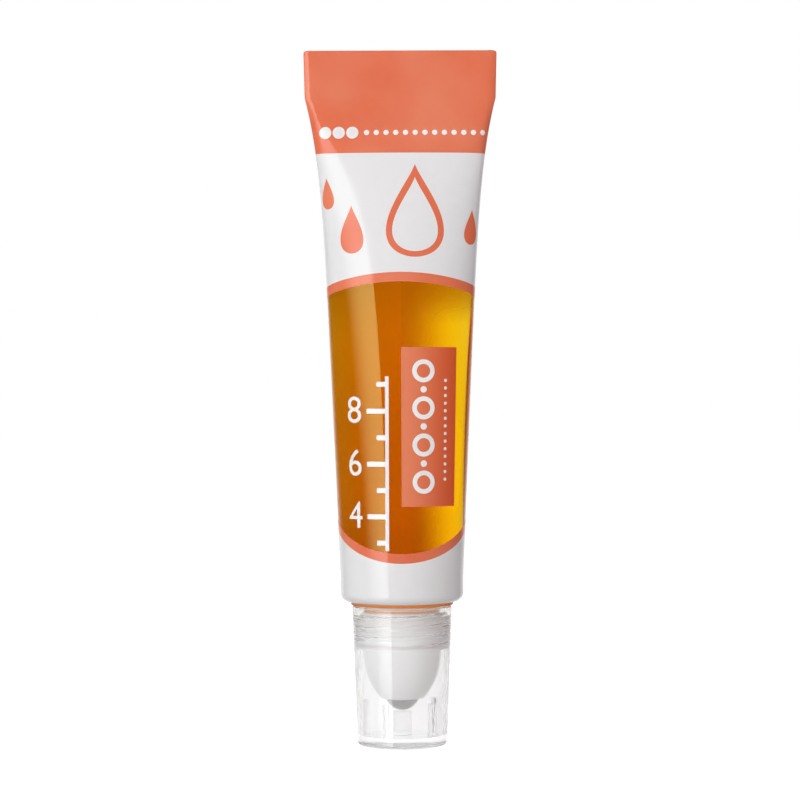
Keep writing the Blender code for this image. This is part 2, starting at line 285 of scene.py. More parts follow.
# %% Helpers for materials and meshes
def new_material(name):
    """A material with an empty node tree."""
    material = bpy.data.materials.new(name)
    material.use_nodes = True
    return material, Nodes(material.node_tree)


def show(name, mesh, material):
    """Put a mesh into the scene with its material."""
    mesh.materials.append(material)
    thing = bpy.data.objects.new(name, mesh)
    bpy.context.scene.collection.objects.link(thing)
    return thing


def mesh_of(bm, name):
    """The bmesh as a mesh, which ends the bmesh."""
    mesh = bpy.data.meshes.new(name)
    bm.to_mesh(mesh)
    bm.free()
    return mesh


# %% [markdown]
# The floor is a plain disc. It adds a glow of its own for the rays that look at it, so that it
# reads as white, and its paint still takes the object's shadow. More lamp light could whiten
# it too, but then the object's pale parts would burn out. Gloss doesn't mirror the floor, so
# the bright band on the tube runs down to the cap's foot.

# %% Floor
FLOOR_R = 3.0
FLOOR_DROP = 0.05 * MM
FLOOR_PAINT = 0.8
FLOOR_GLOW = 0.62


def disc(name, radius, height, sides=96):
    """A flat round face."""
    bm = bmesh.new()
    bmesh.ops.create_circle(bm, cap_ends=True, radius=radius, segments=sides)
    bmesh.ops.translate(bm, verts=bm.verts, vec=(0, 0, height))
    return mesh_of(bm, name)


floor_finish, paint = new_material("floor_paint")
looked_at = paint.ray("Is Camera Ray") + paint.ray("Is Transmission Ray") * paint.before_matt()
glow = paint.blend(looked_at * FLOOR_GLOW, BLACK, WHITE)
painted = paint.add("BsdfDiffuse", {}, {"Color": grey(FLOOR_PAINT)})
shine = paint.add("Emission", {}, {"Color": glow, "Strength": 1.0})
both = paint.add("AddShader", {}, {0: painted, 1: shine})
paint.add("OutputMaterial", {}, {"Surface": both})
floor = show("floor", disc("floor", FLOOR_R, -FLOOR_DROP), floor_finish)
floor.visible_glossy = False
print("floor of", FLOOR_R, "m radius")

# %% [markdown]
# The main light is a tall softbox at the left. The bright band down the tube is its mirror
# image, with a hard edge on the right, where the box ends, and a soft edge on the left, where
# the box grows dim. An area lamp has one even level, so a glowing sheet is made instead. A
# second, wider box lights only the matt faces, from the same side. Rays that bend see neither
# of them, or the back of the cap would show a white notch.

# %% Softboxes
BOX_DISTANCE = 700 * MM
BOX_HEIGHT = 1100 * MM
KEY_INNER = math.radians(25)
KEY_CORE = math.radians(32)
KEY_OUTER = math.radians(70)
KEY_LEVEL = 5.0
WIDE_INNER = math.radians(-8)
WIDE_CORE = math.radians(34)
WIDE_OUTER = math.radians(48)
WIDE_LEVEL = 2.3


def softbox(name, inner, core, outer, level, columns=24):
    """A glowing sheet that curves round the object between two angles left of the camera."""
    bm = bmesh.new()
    rows = []
    for height in (-BOX_HEIGHT / 2, BOX_HEIGHT / 2):
        row = []
        for i in range(columns + 1):
            angle = inner + (outer - inner) * i / columns
            spot = (-BOX_DISTANCE * math.sin(angle), -BOX_DISTANCE * math.cos(angle))
            row.append(bm.verts.new((*spot, CAMERA_HEIGHT + height)))
        rows.append(row)
    for i in range(columns):
        bm.faces.new((rows[0][i], rows[0][i + 1], rows[1][i + 1], rows[1][i]))
    glowing, nodes = new_material(name + "_glow")
    full, dim = -BOX_DISTANCE * math.cos(core), -BOX_DISTANCE * math.cos(outer)
    colour = nodes.blend(1 - nodes.between(nodes.place("Y"), full, dim), BLACK, WHITE)
    glow = nodes.add("Emission", {}, {"Color": colour, "Strength": level})
    nodes.add("OutputMaterial", {}, {"Surface": glow})
    sheet = show(name, mesh_of(bm, name), glowing)
    sheet.visible_camera = False
    sheet.visible_transmission = False
    return sheet


softbox("mirrored_softbox", KEY_INNER, KEY_CORE, KEY_OUTER, KEY_LEVEL)
wide_box = softbox("side_softbox", WIDE_INNER, WIDE_CORE, WIDE_OUTER, WIDE_LEVEL)
wide_box.visible_glossy = False
print("softboxes", round(BOX_DISTANCE / MM), "mm away and", round(BOX_HEIGHT / MM), "mm high")

# %% [markdown]
# ## Finishes
# Clear plastic, oil and print meet in thin layers here. Light from a lamp can't find its way
# through bending glass in few samples, so the clear finishes let lamp rays and rays from matt
# faces pass straight through. Only the eye's rays bend. Two Mix Shaders do that, each driven by
# one kind of ray.
#
# One function makes every clear plastic of this object, so that they are of one kind. They
# differ in how much they bend light, how hazy their skin is and how clear they are inside.
# Oil has stained the head from the collar up and in a ring on the neck. The sleeve's gloss is
# tinted gold and a little gold metal is mixed in: a painted reflection, because the bright band
# looks yellow where it lies over the oil.

# %% Clear plastic
FLOW_SIZE = 7 * MM
PALE_FLOW = grey(0.985)
DENT_SIZE = 4 * MM
DENT_DEPTH = 0.001 * MM
STAIN = (0.9, 0.36, 0.12, 1.0)
STAIN_FOOT = (21.3 * MM, 21.5 * MM)
STAIN_RING_FOOT = (20.4 * MM, 20.5 * MM)
STAIN_RING_HEAD = (20.75 * MM, 20.85 * MM)
# The sleeve's painted reflection: a faint metal of this colour and a gold gloss tint stand in for
# the yellow that the bright band takes over the oil.
PAINTED_SHEEN_COLOUR = (0.8, 0.95, 0.3, 1.0)
PAINTED_SHEEN_SHARE = 0.025
PAINTED_GOLD_GLOSS = (1.0, 1.0, 0.35, 1.0)


def let_light_in(nodes, shader):
    """The same shader to the eye, and open to lamp rays and to rays from matt faces."""
    open_way = nodes.add("BsdfTransparent", {}, {})
    indoors = nodes.add("MixShader", {}, {0: nodes.ray("Is Diffuse Ray"), 1: shader, 2: open_way})
    return nodes.add("MixShader", {}, {0: nodes.ray("Is Shadow Ray"), 1: indoors, 2: open_way})


def stained(nodes, colour):
    """The colour with oil stain from the collar up, and in a ring on the neck."""
    height = nodes.place("Z")
    ring = nodes.between(height, *STAIN_RING_FOOT) - nodes.between(height, *STAIN_RING_HEAD)
    return nodes.blend(nodes.between(height, *STAIN_FOOT) + ring, colour, STAIN)


def clear_plastic(name, bend, haze, tint, clearness=1.0, stain=False, painted_sheen=0.0, gloss=WHITE):
    """Moulded clear plastic: flow marks vary its gloss and tint, and the rest is milky. A share of
    gold metal mixed in is a painted reflection, and gloss tints the mirror images.
    """
    material, nodes = new_material(name)
    flow = nodes.speckle(FLOW_SIZE, detail=3.0)
    colour = nodes.blend(flow, tint, PALE_FLOW)
    sockets = {
        "Base Color": stained(nodes, colour) if stain else colour,
        "Roughness": haze * (0.6 + 0.8 * flow),
        "IOR": bend,
        "Transmission Weight": clearness,
        "Specular Tint": gloss,
        "Normal": nodes.dents(nodes.speckle(DENT_SIZE), DENT_DEPTH),
    }
    shader = nodes.add("BsdfPrincipled", {}, sockets)
    if painted_sheen:
        sockets = {"Base Color": PAINTED_SHEEN_COLOUR, "Metallic": 1.0, "Roughness": haze}
        shine = nodes.add("BsdfPrincipled", {}, sockets)
        shader = nodes.add("MixShader", {}, {0: painted_sheen, 1: shader, 2: shine})
    nodes.add("OutputMaterial", {}, {"Surface": let_light_in(nodes, shader)})
    return material


# %% [markdown]
# The cap's outside is glossy, its inside is a little rougher from the mould's core, and its
# threads and foot scatter light. The head is milky. Plastic that oil wets has a finish of its
# own, because it bends light as little as the oil beside it does.

# %% The clear plastics of this object
CAP_TINT = (0.965, 0.97, 0.975, 1.0)
HEAD_TINT = (0.965, 0.965, 0.96, 1.0)
SLEEVE_TINT = (0.975, 0.975, 0.97, 1.0)

cap_plastic = clear_plastic("cap_plastic", 1.42, 0.06, CAP_TINT, 0.95)
cap_inside_plastic = clear_plastic("cap_inside_plastic", 1.42, 0.16, CAP_TINT, 0.9)
cap_hazy_plastic = clear_plastic("cap_hazy_plastic", 1.2, 0.6, CAP_TINT, 0.9)
head_plastic = clear_plastic("head_plastic", 1.3, 0.5, HEAD_TINT, 0.45, stain=True)
# The sleeve's gloss is painted gold: a painted reflection.
painted_gold = {"painted_sheen": PAINTED_SHEEN_SHARE, "gloss": PAINTED_GOLD_GLOSS}
sleeve_plastic = clear_plastic("sleeve_plastic", 1.3, 0.04, SLEEVE_TINT, **painted_gold)
wet_plastic = clear_plastic("wet_plastic", 1.01, 0.0, SLEEVE_TINT)
print("clear plastics:", [m.name for m in bpy.data.materials if m.name.endswith("plastic")])

# %% [markdown]
# The oil takes its colour from the way that light travels in it: a Volume Absorption eats blue
# and some green on every millimetre. So it is dark amber where the way is long and yellow where
# it is short, as in a real bottle. A tinted skin would be simpler, but it would give one even
# colour.

# %% Oil
OIL_BEND = 1.01
OIL_COLOUR = (0.998, 0.9, 0.02, 1.0)
OIL_DENSITY = 530.0
OIL_SKIN = (1.0, 0.985, 0.95, 1.0)
SWIRL_SIZE = 12 * MM


def oil_finish():
    """Clear amber oil."""
    material, nodes = new_material("amber_oil")
    sockets = {
        "Base Color": nodes.blend(nodes.speckle(SWIRL_SIZE), OIL_SKIN, WHITE),
        "Roughness": 0.0,
        "IOR": OIL_BEND,
        "Transmission Weight": 1.0,
    }
    shader = nodes.add("BsdfPrincipled", {}, sockets)
    depth = nodes.add("VolumeAbsorption", {}, {"Color": OIL_COLOUR, "Density": OIL_DENSITY})
    nodes.add("OutputMaterial", {}, {"Surface": let_light_in(nodes, shader), "Volume": depth})
    return material


amber_oil = oil_finish()
print("the oil's depth colour is", OIL_COLOUR[:3])

# %% [markdown]
# Printing ink is varnished. It isn't one even colour: the screen leaves it slightly mottled,
# wide soft clouds show where it lies thicker, and the varnish has a faint orange-peel that
# softens the edge of a reflection. The white ink is thin enough for light to pass into the
# tube, so lamp rays and rays from matt faces mostly go through it. Scanned pictures of ink
# could be laid on, but noises of two sizes look the same from near and far.

# %% Print inks
CORAL = (0.835, 0.19, 0.095, 1.0)
CORAL_DEEP = (0.82, 0.182, 0.09, 1.0)
CORAL_CLOUD = (0.865, 0.245, 0.135, 1.0)
WHITE_INK = (0.86, 0.86, 0.865, 1.0)
WHITE_INK_DEEP = (0.845, 0.845, 0.85, 1.0)
WHITE_INK_THINNESS = 0.85
BRIGHT_INK = (0.96, 0.96, 0.955, 1.0)
INK_BEND = 1.38
INK_HAZE = 0.09
MOTTLE_SIZE = 1.6 * MM
CLOUD_SIZE = 11 * MM
PEEL_SIZE = 0.9 * MM
PEEL_DEPTH = 0.0008 * MM


def varnished(nodes, colour):
    """An ink of this colour under varnish with a faint orange-peel."""
    peel = nodes.speckle(PEEL_SIZE)
    sockets = {
        "Base Color": colour,
        "Roughness": INK_HAZE + 0.03 * peel,
        "IOR": INK_BEND,
        "Normal": nodes.dents(peel, PEEL_DEPTH),
    }
    return nodes.add("BsdfPrincipled", {}, sockets)


def ink(name, colour, deep_colour, cloud_colour, thinness=0.0):
    """An ink with a fine mottle between two close colours, and wide soft clouds."""
    material, nodes = new_material(name)
    mottle = nodes.between(nodes.speckle(MOTTLE_SIZE, detail=4.0), 0.3, 0.7)
    cloud = nodes.between(nodes.speckle(CLOUD_SIZE, detail=1.0), 0.35, 0.75)
    mottled = nodes.blend(mottle, colour, deep_colour)
    shader = varnished(nodes, nodes.blend(cloud, mottled, cloud_colour))
    if thinness:
        lit = nodes.maths("MAXIMUM", nodes.ray("Is Shadow Ray"), nodes.ray("Is Diffuse Ray"))
        open_way = nodes.add("BsdfTransparent", {}, {})
        shader = nodes.add("MixShader", {}, {0: thinness * lit, 1: shader, 2: open_way})
    nodes.add("OutputMaterial", {}, {"Surface": shader})
    return material


coral_ink = ink("coral_ink", CORAL, CORAL_DEEP, CORAL_CLOUD)
white_ink = ink("white_ink", WHITE_INK, WHITE_INK_DEEP, WHITE_INK, WHITE_INK_THINNESS)
bright_ink = ink("bright_ink", BRIGHT_INK, WHITE_INK, BRIGHT_INK)
print("inks:", [m.name for m in bpy.data.materials if m.name.endswith("ink")])

# %% [markdown]
# Two inks change across their width. The panel's coral is painted light and shade: it is lighter
# at the left, which faces the softboxes, and grows deeper towards the right, which turns away
# from them. At the back seam the white ink is screened: its dots thin out towards the window,
# and the tube gets lighter there from dark amber to yellow. Dots this fine can't be seen, so an
# Alpha stands in for them. The screen opens over a wider and wider band from the foot of the
# tube to its top, and closes a little again under the top of the window.

# %% Panel ink with painted shade, and screened ink
# The panel's two colours are painted light and shade: lit at the left, shaded at the right.
PANEL_LIT_COLOUR = (0.85, 0.25, 0.13, 1.0)
PANEL_SHADED_COLOUR = (0.75, 0.115, 0.035, 1.0)
PANEL_SHADE_RUN = 9 * MM
SCREEN_START_FOOT = 2.6 * MM
SCREEN_LEAN = 0.075
SCREEN_END_FOOT = 2.85 * MM
SCREEN_SPREAD = 0.0617
SCREEN_CROWN = (64 * MM, 71 * MM)
SCREEN_CROWN_SHARE = 0.6
SCREEN_OPEN = 0.97


def graded_ink(name, lit_colour, shaded_colour, width):
    """An ink whose colour runs from a lit colour to a shaded one: painted light and shade."""
    material, nodes = new_material(name)
    colour = nodes.blend(nodes.between(nodes.place("X"), 0, width), lit_colour, shaded_colour)
    nodes.add("OutputMaterial", {}, {"Surface": varnished(nodes, colour)})
    return material


def screened_ink(name, colour):
    """The white ink at the back seam, where its dots thin out towards the window."""
    material, nodes = new_material(name)
    height = nodes.place("Z")
    start = SCREEN_START_FOOT - SCREEN_LEAN * height
    share = nodes.between(nodes.place("X"), start, SCREEN_END_FOOT + SCREEN_SPREAD * height)
    share = share * (1 - SCREEN_CROWN_SHARE * nodes.between(height, *SCREEN_CROWN))
    sockets = {
        "Base Color": nodes.blend(nodes.speckle(MOTTLE_SIZE), colour, grey(0.86)),
        "Roughness": INK_HAZE,
        "IOR": INK_BEND,
        "Alpha": 1 - SCREEN_OPEN * share,
    }
    shader = nodes.add("BsdfPrincipled", {}, sockets)
    nodes.add("OutputMaterial", {}, {"Surface": shader})
    return material


panel_shaded_ink = graded_ink("panel_shaded_ink", PANEL_LIT_COLOUR, PANEL_SHADED_COLOUR, PANEL_SHADE_RUN)
screen_ink = screened_ink("screen_ink", WHITE_INK)
print("the screen opens up to", SCREEN_OPEN)

# %% [markdown]
# The roller housing is white moulded plastic with a satin skin, which shows soft flow marks.
# The ball is polished steel with faint rolling marks. Its colour is much darker than steel's own:
# that is painted shade, for the dark room that the ball mirrors under the lip. The marks are fine
# noise whose middle range is stretched, so that it reads as wear and not as cloud.

# %% White plastic and steel
HOUSING_WHITE = (0.93, 0.93, 0.925, 1.0)
HOUSING_FLOW = (0.91, 0.91, 0.91, 1.0)
# Both steel colours are painted shade: far darker than steel's own, for the dark room that the ball
# mirrors under the lip.
STEEL_SHADED = (0.32, 0.315, 0.31, 1.0)
STEEL_WORN_SHADED = (0.27, 0.265, 0.26, 1.0)


def white_plastic():
    """Satin moulded plastic with soft flow marks."""
    material, nodes = new_material("housing_plastic")
    flow = nodes.speckle(3 * MM, detail=3.0)
    sockets = {
        "Base Color": nodes.blend(flow, HOUSING_WHITE, HOUSING_FLOW),
        "Roughness": 0.24 + 0.1 * flow,
        "Normal": nodes.dents(nodes.speckle(0.5 * MM), 0.002 * MM),
    }
    shader = nodes.add("BsdfPrincipled", {}, sockets)
    nodes.add("OutputMaterial", {}, {"Surface": shader})
    return material


def ball_steel():
    """Polished steel with faint marks, darkened as painted shade."""
    material, nodes = new_material("ball_steel")
    marks = nodes.between(nodes.speckle(0.35 * MM, detail=6.0), 0.35, 0.75)
    sockets = {
        "Base Color": nodes.blend(marks, STEEL_SHADED, STEEL_WORN_SHADED),
        "Metallic": 1.0,
        "Roughness": 0.1 + 0.1 * marks,
        "Normal": nodes.dents(marks, 0.0006 * MM),
    }
    shader = nodes.add("BsdfPrincipled", {}, sockets)
    nodes.add("OutputMaterial", {}, {"Surface": shader})
    return material


housing_plastic = white_plastic()
steel = ball_steel()
print("materials in all:", len(bpy.data.materials))

# %% [markdown]
# ## The sleeve's wall
# A squeeze tube starts as a round pipe. Pressing its end flat bends the wall but doesn't
# stretch it, so every level has the same girth. That rule gives the shape: choose how the width
# grows towards the seal, and look for the depth that keeps the girth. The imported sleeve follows
# the same rule with coarse facets, and this one is fine.

# %% Sections of constant girth
SLEEVE_WALL = 0.5 * MM
SHOULDER_ROUNDING = 1.5 * MM
SEAL_LENGTH = 7.3 * MM
SEAL_TAPER = 0.17 * MM
SEAL_CORNER_ROUNDING = 0.45 * MM
ROUND_LENGTH = 4.1 * MM
STRAIGHT_SHARE = 0.62
FLARE_POWER = 8
SEAL_BLUNTNESS = 0.15
BLUNTING_POWER = 4
GIRTH_POINTS = 721
HALVINGS = 36

GIRTH = 2 * math.pi * TUBE_R
ROUNDING_Z = SLEEVE_Z + SHOULDER_ROUNDING
ROUND_END_Z = SLEEVE_Z + ROUND_LENGTH
SEAL_Z = SLEEVE_TOP - SEAL_LENGTH


def section(angles, width, depth, power):
    """Points of a section with these half sizes, from an ellipse to a blunt slab."""
    rise = np.sin(angles)
    return np.stack([width * np.cos(angles), np.copysign(depth * np.abs(rise) ** power, rise)], 1)


def girth_of(width, depth, power):
    """The length around a section."""
    points = section(np.linspace(0, 2 * math.pi, GIRTH_POINTS), width, depth, power)
    return np.hypot(*np.diff(points, axis=0).T).sum()


def section_size(share):
    """Half width, half depth and power at a share of the way from the round end to the seal."""
    growth = STRAIGHT_SHARE * share + (1 - STRAIGHT_SHARE) * share**FLARE_POWER
    width = TUBE_R + (SEAL_HALF_WIDTH - SEAL_TAPER - TUBE_R) * growth
    power = 1 - (1 - SEAL_BLUNTNESS) * share**BLUNTING_POWER
    low, high = 0.0, TUBE_R
    for _ in range(HALVINGS):
        middle = (low + high) / 2
        if girth_of(width, middle, power) < GIRTH:
            low = middle
        else:
            high = middle
    return width, math.hypot(low, SLEEVE_WALL * share**BLUNTING_POWER), power


for share in (0.0, 0.5, 0.9, 1.0):
    print("share", share, "half sizes", [round(size / MM, 2) for size in section_size(share)[:2]])

# %% [markdown]
# The print is drawn flat, as at the printer's: `across` runs round the girth from the middle of
# the front, and `up` runs up the tube. A table of the wall's points turns a flat place into a
# place on the tube. Below the shoulder's rounding, `up` keeps counting along the curve.

# %% A table of the wall
COLUMNS = 480
FINE_POINTS = 2881
A_HAIR_LESS = 1e-6
CREASE_WIDTH = 1.2 * MM
CREASE_SHARE = 0.35
CREASE_START = 0.88
LIP_ANGLE = math.radians(78)
TRIM_Z = SLEEVE_TOP - SEAL_CORNER_ROUNDING
CORNER_START = ROUNDING_Z - SHOULDER_ROUNDING * LIP_ANGLE


def clamped(value, low=0.0, high=1.0):
    """The value, kept between two limits."""
    return min(max(value, low), high)


def way_up(up):
    """The share of the way from the round end to the seal, at a height."""
    return (up - ROUND_END_Z) / (SEAL_Z - ROUND_END_Z)


def wall_size(up):
    """Half width, half depth, power and height at a place up the wall."""
    if up < ROUNDING_Z:
        angle = (up - ROUNDING_Z) / SHOULDER_ROUNDING
        radius = TUBE_R - SHOULDER_ROUNDING * (1 - math.cos(angle))
        return radius, radius, 1.0, ROUNDING_Z + SHOULDER_ROUNDING * math.sin(angle)
    width, depth, power = section_size(clamped(way_up(up)))
    pressed = clamped((up - SEAL_Z) / (TRIM_Z - SEAL_Z))
    width += (SEAL_HALF_WIDTH - width) * pressed
    depth += (SLEEVE_WALL - depth) * pressed
    over = clamped(up - TRIM_Z, 0.0, SEAL_CORNER_ROUNDING)
    width -= SEAL_CORNER_ROUNDING - math.sqrt(SEAL_CORNER_ROUNDING**2 - over**2)
    return width, depth, power, up


# %% [markdown]
# Where the wall is folded flat, its two edges thin out into a crease. Each level is drawn with
# many points and then measured out anew, so that the table's columns are evenly spaced.


# %% Creases and even points
def creased(points, width, amount):
    """A section whose two folds thin out towards their edges, by an amount from 0 to 1."""
    inward = np.clip((width - np.abs(points[:, 0])) / CREASE_WIDTH, 0, 1)
    thinning = amount * (1 - CREASE_SHARE) * (1 - inward) ** 2
    return points * np.stack([np.ones(len(points)), 1 - thinning], 1)


def even_points(up):
    """One row of the table: points spaced evenly round the girth, the back seam first and last."""
    width, depth, power, height = wall_size(up)
    crease = clamped((way_up(up) - CREASE_START) / (1 - CREASE_START))
    angles = np.linspace(-1.5 * math.pi, 0.5 * math.pi, FINE_POINTS)
    fine = creased(section(angles, width, depth, power), width, crease)
    length = np.concatenate([[0], np.cumsum(np.hypot(*np.diff(fine, axis=0).T))])
    wanted = np.linspace(0, length[-1], COLUMNS + 1)
    row = [np.interp(wanted, length, fine[:, axis]) for axis in (0, 1)]
    return np.stack([*row, np.full(COLUMNS + 1, height)], 1)


# %% [markdown]
# The levels lie closest together where the wall bends most, at the shoulder and at the trimmed
# top. The way that the wall faces comes from the slopes of the table itself.

# %% The table and how to read it
BENDS = [CORNER_START, ROUNDING_Z, ROUND_END_Z, SEAL_Z, TRIM_Z, SLEEVE_TOP]
LEVELS = [25, 6, 150, 8, 9]
spans = [np.linspace(*span)[:-1] for span in zip(BENDS, BENDS[1:], LEVELS)]
HEIGHTS = np.concatenate([*spans, [SLEEVE_TOP]])
PLACES = np.array([even_points(up) for up in HEIGHTS])
go_round = np.gradient(PLACES, axis=1)
go_round[:, 0] = go_round[:, -1] = (PLACES[:, 1] - PLACES[:, -2]) / 2
go_up = np.gradient(PLACES, axis=0)
FACINGS = np.cross(go_round, go_up)
FACINGS /= np.linalg.norm(FACINGS, axis=2, keepdims=True)
print("wall table of", PLACES.shape[0], "levels and", PLACES.shape[1], "places round")


def read_table(table, across, up):
    """Values between the table's points, for arrays of flat places."""
    column = np.clip((across / GIRTH + 0.5) * COLUMNS, 0, COLUMNS - A_HAIR_LESS)
    row = np.interp(up, HEIGHTS, np.arange(len(HEIGHTS)))
    row = np.clip(row, 0, len(HEIGHTS) - 1 - A_HAIR_LESS)
    i, j = row.astype(int), column.astype(int)
    a, b = (row - i)[:, None], (column - j)[:, None]
    low = table[i, j] * (1 - b) + table[i, j + 1] * b
    high = table[i + 1, j] * (1 - b) + table[i + 1, j + 1] * b
    return low * (1 - a) + high * a


def on_wall(across, up, depth):
    """Places at a depth under the wall's outer face, and the way that the face looks there."""
    facing = read_table(FACINGS, across, up)
    facing /= np.linalg.norm(facing, axis=1, keepdims=True)
    return read_table(PLACES, across, up) - facing * np.reshape(depth, (-1, 1)), facing


# %% [markdown]
# ## The clear sleeve
# The sleeve is a closed body: rings run down inside the pocket, round the lip and up the outside.
# A Solidify modifier could thicken a single face, but here the inside has a shape of its own:
# it closes to a slit under the seal. So every ring is worked out.

# %% A body from rings
SHARP_ANGLE = math.radians(32)
SAME_PLACE = 0.0001 * MM


def body_of_rings(name, rings, ends="faces", second=range(0)):
    """A smooth closed mesh through rings of equal point counts.

    ends says how the first and last ring close: with faces, by being joined to each other, or
    not at all where both are open or on the axis. The gaps between rings that second names get
    the second material.
    """
    bm = bmesh.new()
    rows = [[bm.verts.new(point) for point in ring] for ring in rings]
    count = len(rows[0])
    pairs = list(zip(rows, rows[1:]))
    if ends == "joined":
        pairs.append((rows[-1], rows[0]))
    for gap, (low, high) in enumerate(pairs):
        for i in range(count):
            j = (i + 1) % count
            face = bm.faces.new((low[i], low[j], high[j], high[i]))
            face.material_index = int(gap in second)
    if ends == "faces":
        bm.faces.new(reversed(rows[0]))
        bm.faces.new(rows[-1])
    bmesh.ops.remove_doubles(bm, verts=bm.verts, dist=SAME_PLACE)
    bmesh.ops.recalc_face_normals(bm, faces=bm.faces)
    mesh = mesh_of(bm, name)
    mesh.shade_smooth()
    mesh.set_sharp_from_angle(angle=SHARP_ANGLE)
    return mesh


# %% [markdown]
# The plastic's outer face lies a hair under the wall's face, inside the thickness of the ink.
# Ink and plastic overlap on purpose. A gap of air between them would mirror at flat angles and
# spoil the look through the wall.

# %% Rings of the sleeve
PLASTIC_DEPTH = 0.05 * MM
SLEEVE_COLUMNS = 240
CORNER_STEPS = 10
SLIT = 0.06 * MM
RING_ACROSS = (np.arange(SLEEVE_COLUMNS) / SLEEVE_COLUMNS - 0.5) * GIRTH


def inner_ring(share, wall):
    """A ring of the wall's inner side."""
    width, depth, power = section_size(share)
    angles = -math.pi / 2 + RING_ACROSS / GIRTH * 2 * math.pi
    flat = section(angles, width - wall, max(depth - wall, SLIT / 2), power)
    height = ROUND_END_Z + (SEAL_Z - ROUND_END_Z) * share
    return np.column_stack([flat, np.full(len(flat), height)])


def level_ring(angles, reach, height):
    """Points at a height, at these angles and at this reach from the axis."""
    x, y = reach * np.cos(angles), reach * np.sin(angles)
    return np.column_stack([x, y, np.full(len(angles), height)])


def round_ring(radius, height):
    """A round ring with the same start as the others."""
    angles = -math.pi / 2 + (np.arange(SLEEVE_COLUMNS) / SLEEVE_COLUMNS - 0.5) * 2 * math.pi
    return level_ring(angles, radius, height)


def inner_corner(wall, least_radius):
    """Rings round the inside of the shoulder's corner, from the straight wall to a radius."""
    radius = SHOULDER_ROUNDING - wall
    centre = TUBE_R - SHOULDER_ROUNDING
    last = math.acos((least_radius - centre) / radius)
    angles = [-last * i / CORNER_STEPS for i in range(CORNER_STEPS + 1)]
    spots = [(centre + radius * math.cos(a), ROUNDING_Z + radius * math.sin(a)) for a in angles]
    return [round_ring(*spot) for spot in spots]


def outer_ring(up, depth):
    """A ring at a depth under the wall's outer face."""
    return on_wall(RING_ACROSS, np.full(SLEEVE_COLUMNS, up), depth)[0]


# %% [markdown]
# The rings start high in the pocket, lie closer together near the seal, and end at the trimmed
# top with a fine bevel. The inner faces get the finish of wet plastic.

# %% Sleeve body
POCKET_SHARE = 0.93
POCKET_RINGS = 60
TRIM_BEVEL = 0.1 * MM
LIP_R = TUBE_R - SHOULDER_ROUNDING + SHOULDER_ROUNDING * math.cos(LIP_ANGLE)

shares = [POCKET_SHARE * (1 - (i / POCKET_RINGS) ** 2) for i in range(POCKET_RINGS + 1)]
rings = [inner_ring(share, SLEEVE_WALL) for share in shares]
rings += inner_corner(SLEEVE_WALL, LIP_R)
rings += [outer_ring(up, PLASTIC_DEPTH) for up in HEIGHTS if up < SLEEVE_TOP - TRIM_BEVEL]
rings.append(outer_ring(SLEEVE_TOP - TRIM_BEVEL, PLASTIC_DEPTH))
top_ring = outer_ring(SLEEVE_TOP, TRIM_BEVEL)
top_ring[:, 2] = SLEEVE_TOP
rings.append(top_ring)
inner_gaps = range(len(shares) + CORNER_STEPS)
skin = body_of_rings("sleeve_clear", rings, second=inner_gaps)
sleeve = show("sleeve_clear", skin, sleeve_plastic)
sleeve.data.materials.append(wet_plastic)
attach(sleeve, "tube")
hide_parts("sleeve")
print("sleeve body:", len(sleeve.data.polygons), "faces")

# %% [markdown]
# ## The print
# The print could be one picture laid on the sleeve, but its edges would blur close up. So each
# ink is a thin skin with a real edge. It is drawn flat at one Blender unit a millimetre: a
# sheet with a grid fine enough to bend, cut with a Boolean by an outline, and then wrapped on
# the wall.

# %% A flat sheet
HALF_GIRTH = GIRTH / MM / 2
ACROSS_STEP = 0.45
FOLD_STEP = 0.1
FOLD_REACH = 0.75
CRIMP_START = 80.0 * MM
SHEET_BENDS = [CORNER_START, ROUNDING_Z, CRIMP_START, SEAL_Z, TRIM_Z, SLEEVE_TOP]
UP_STEPS = [0.15, 2.4, 0.45, 1.5, 0.08]


def lines(start, end, step):
    """Evenly spaced places from start to end, about a step apart."""
    return np.linspace(start, end, max(1, round((end - start) / step)) + 1)


def up_lines(low, high):
    """Places up the wall, closer together where it bends more."""
    found = [low, high]
    for start, end, step in zip(SHEET_BENDS, SHEET_BENDS[1:], UP_STEPS):
        found += [value for value in lines(start / MM, end / MM, step) if low < value < high]
    return sorted(found)


def across_lines(low, high):
    """Places round the girth, closer together at the two folds of the crimp."""
    found = [low, high]
    found += [value for value in lines(-HALF_GIRTH, HALF_GIRTH, ACROSS_STEP) if low < value < high]
    for fold in (-HALF_GIRTH / 2, HALF_GIRTH / 2):
        close = lines(fold - FOLD_REACH, fold + FOLD_REACH, FOLD_STEP)
        found += [value for value in close if low < value < high]
    return sorted(set(round(value, 4) for value in found))


def flat_sheet(name, across, up):
    """A closed sheet one unit thick, with its face at height 0 and its back at -1."""
    bm = bmesh.new()
    face = [[bm.verts.new((x, y, 0)) for x in across] for y in up]
    back = [[bm.verts.new((x, y, -1)) for x in across] for y in up]
    for j in range(len(up) - 1):
        for i in range(len(across) - 1):
            for side in (face, back):
                bm.faces.new((side[j][i], side[j][i + 1], side[j + 1][i + 1], side[j + 1][i]))
    rim = [edge for edge in bm.edges if edge.is_boundary and edge.verts[0].co.z == 0]
    twins = {v: w for top, low in zip(face, back) for v, w in zip(top, low)}
    for edge in rim:
        a, b = edge.verts
        bm.faces.new((a, b, twins[b], twins[a]))
    bmesh.ops.recalc_face_normals(bm, faces=bm.faces)
    return mesh_of(bm, name)


# %% [markdown]
# The wrap moves every corner of a sheet on to the wall. A Shrinkwrap modifier could do that,
# but it would stretch the drawing. The sheet's normals are taken from the wall itself, so
# reflections run over ink and window without a break.

# %% Wrap a sheet
NEAR = 0.01


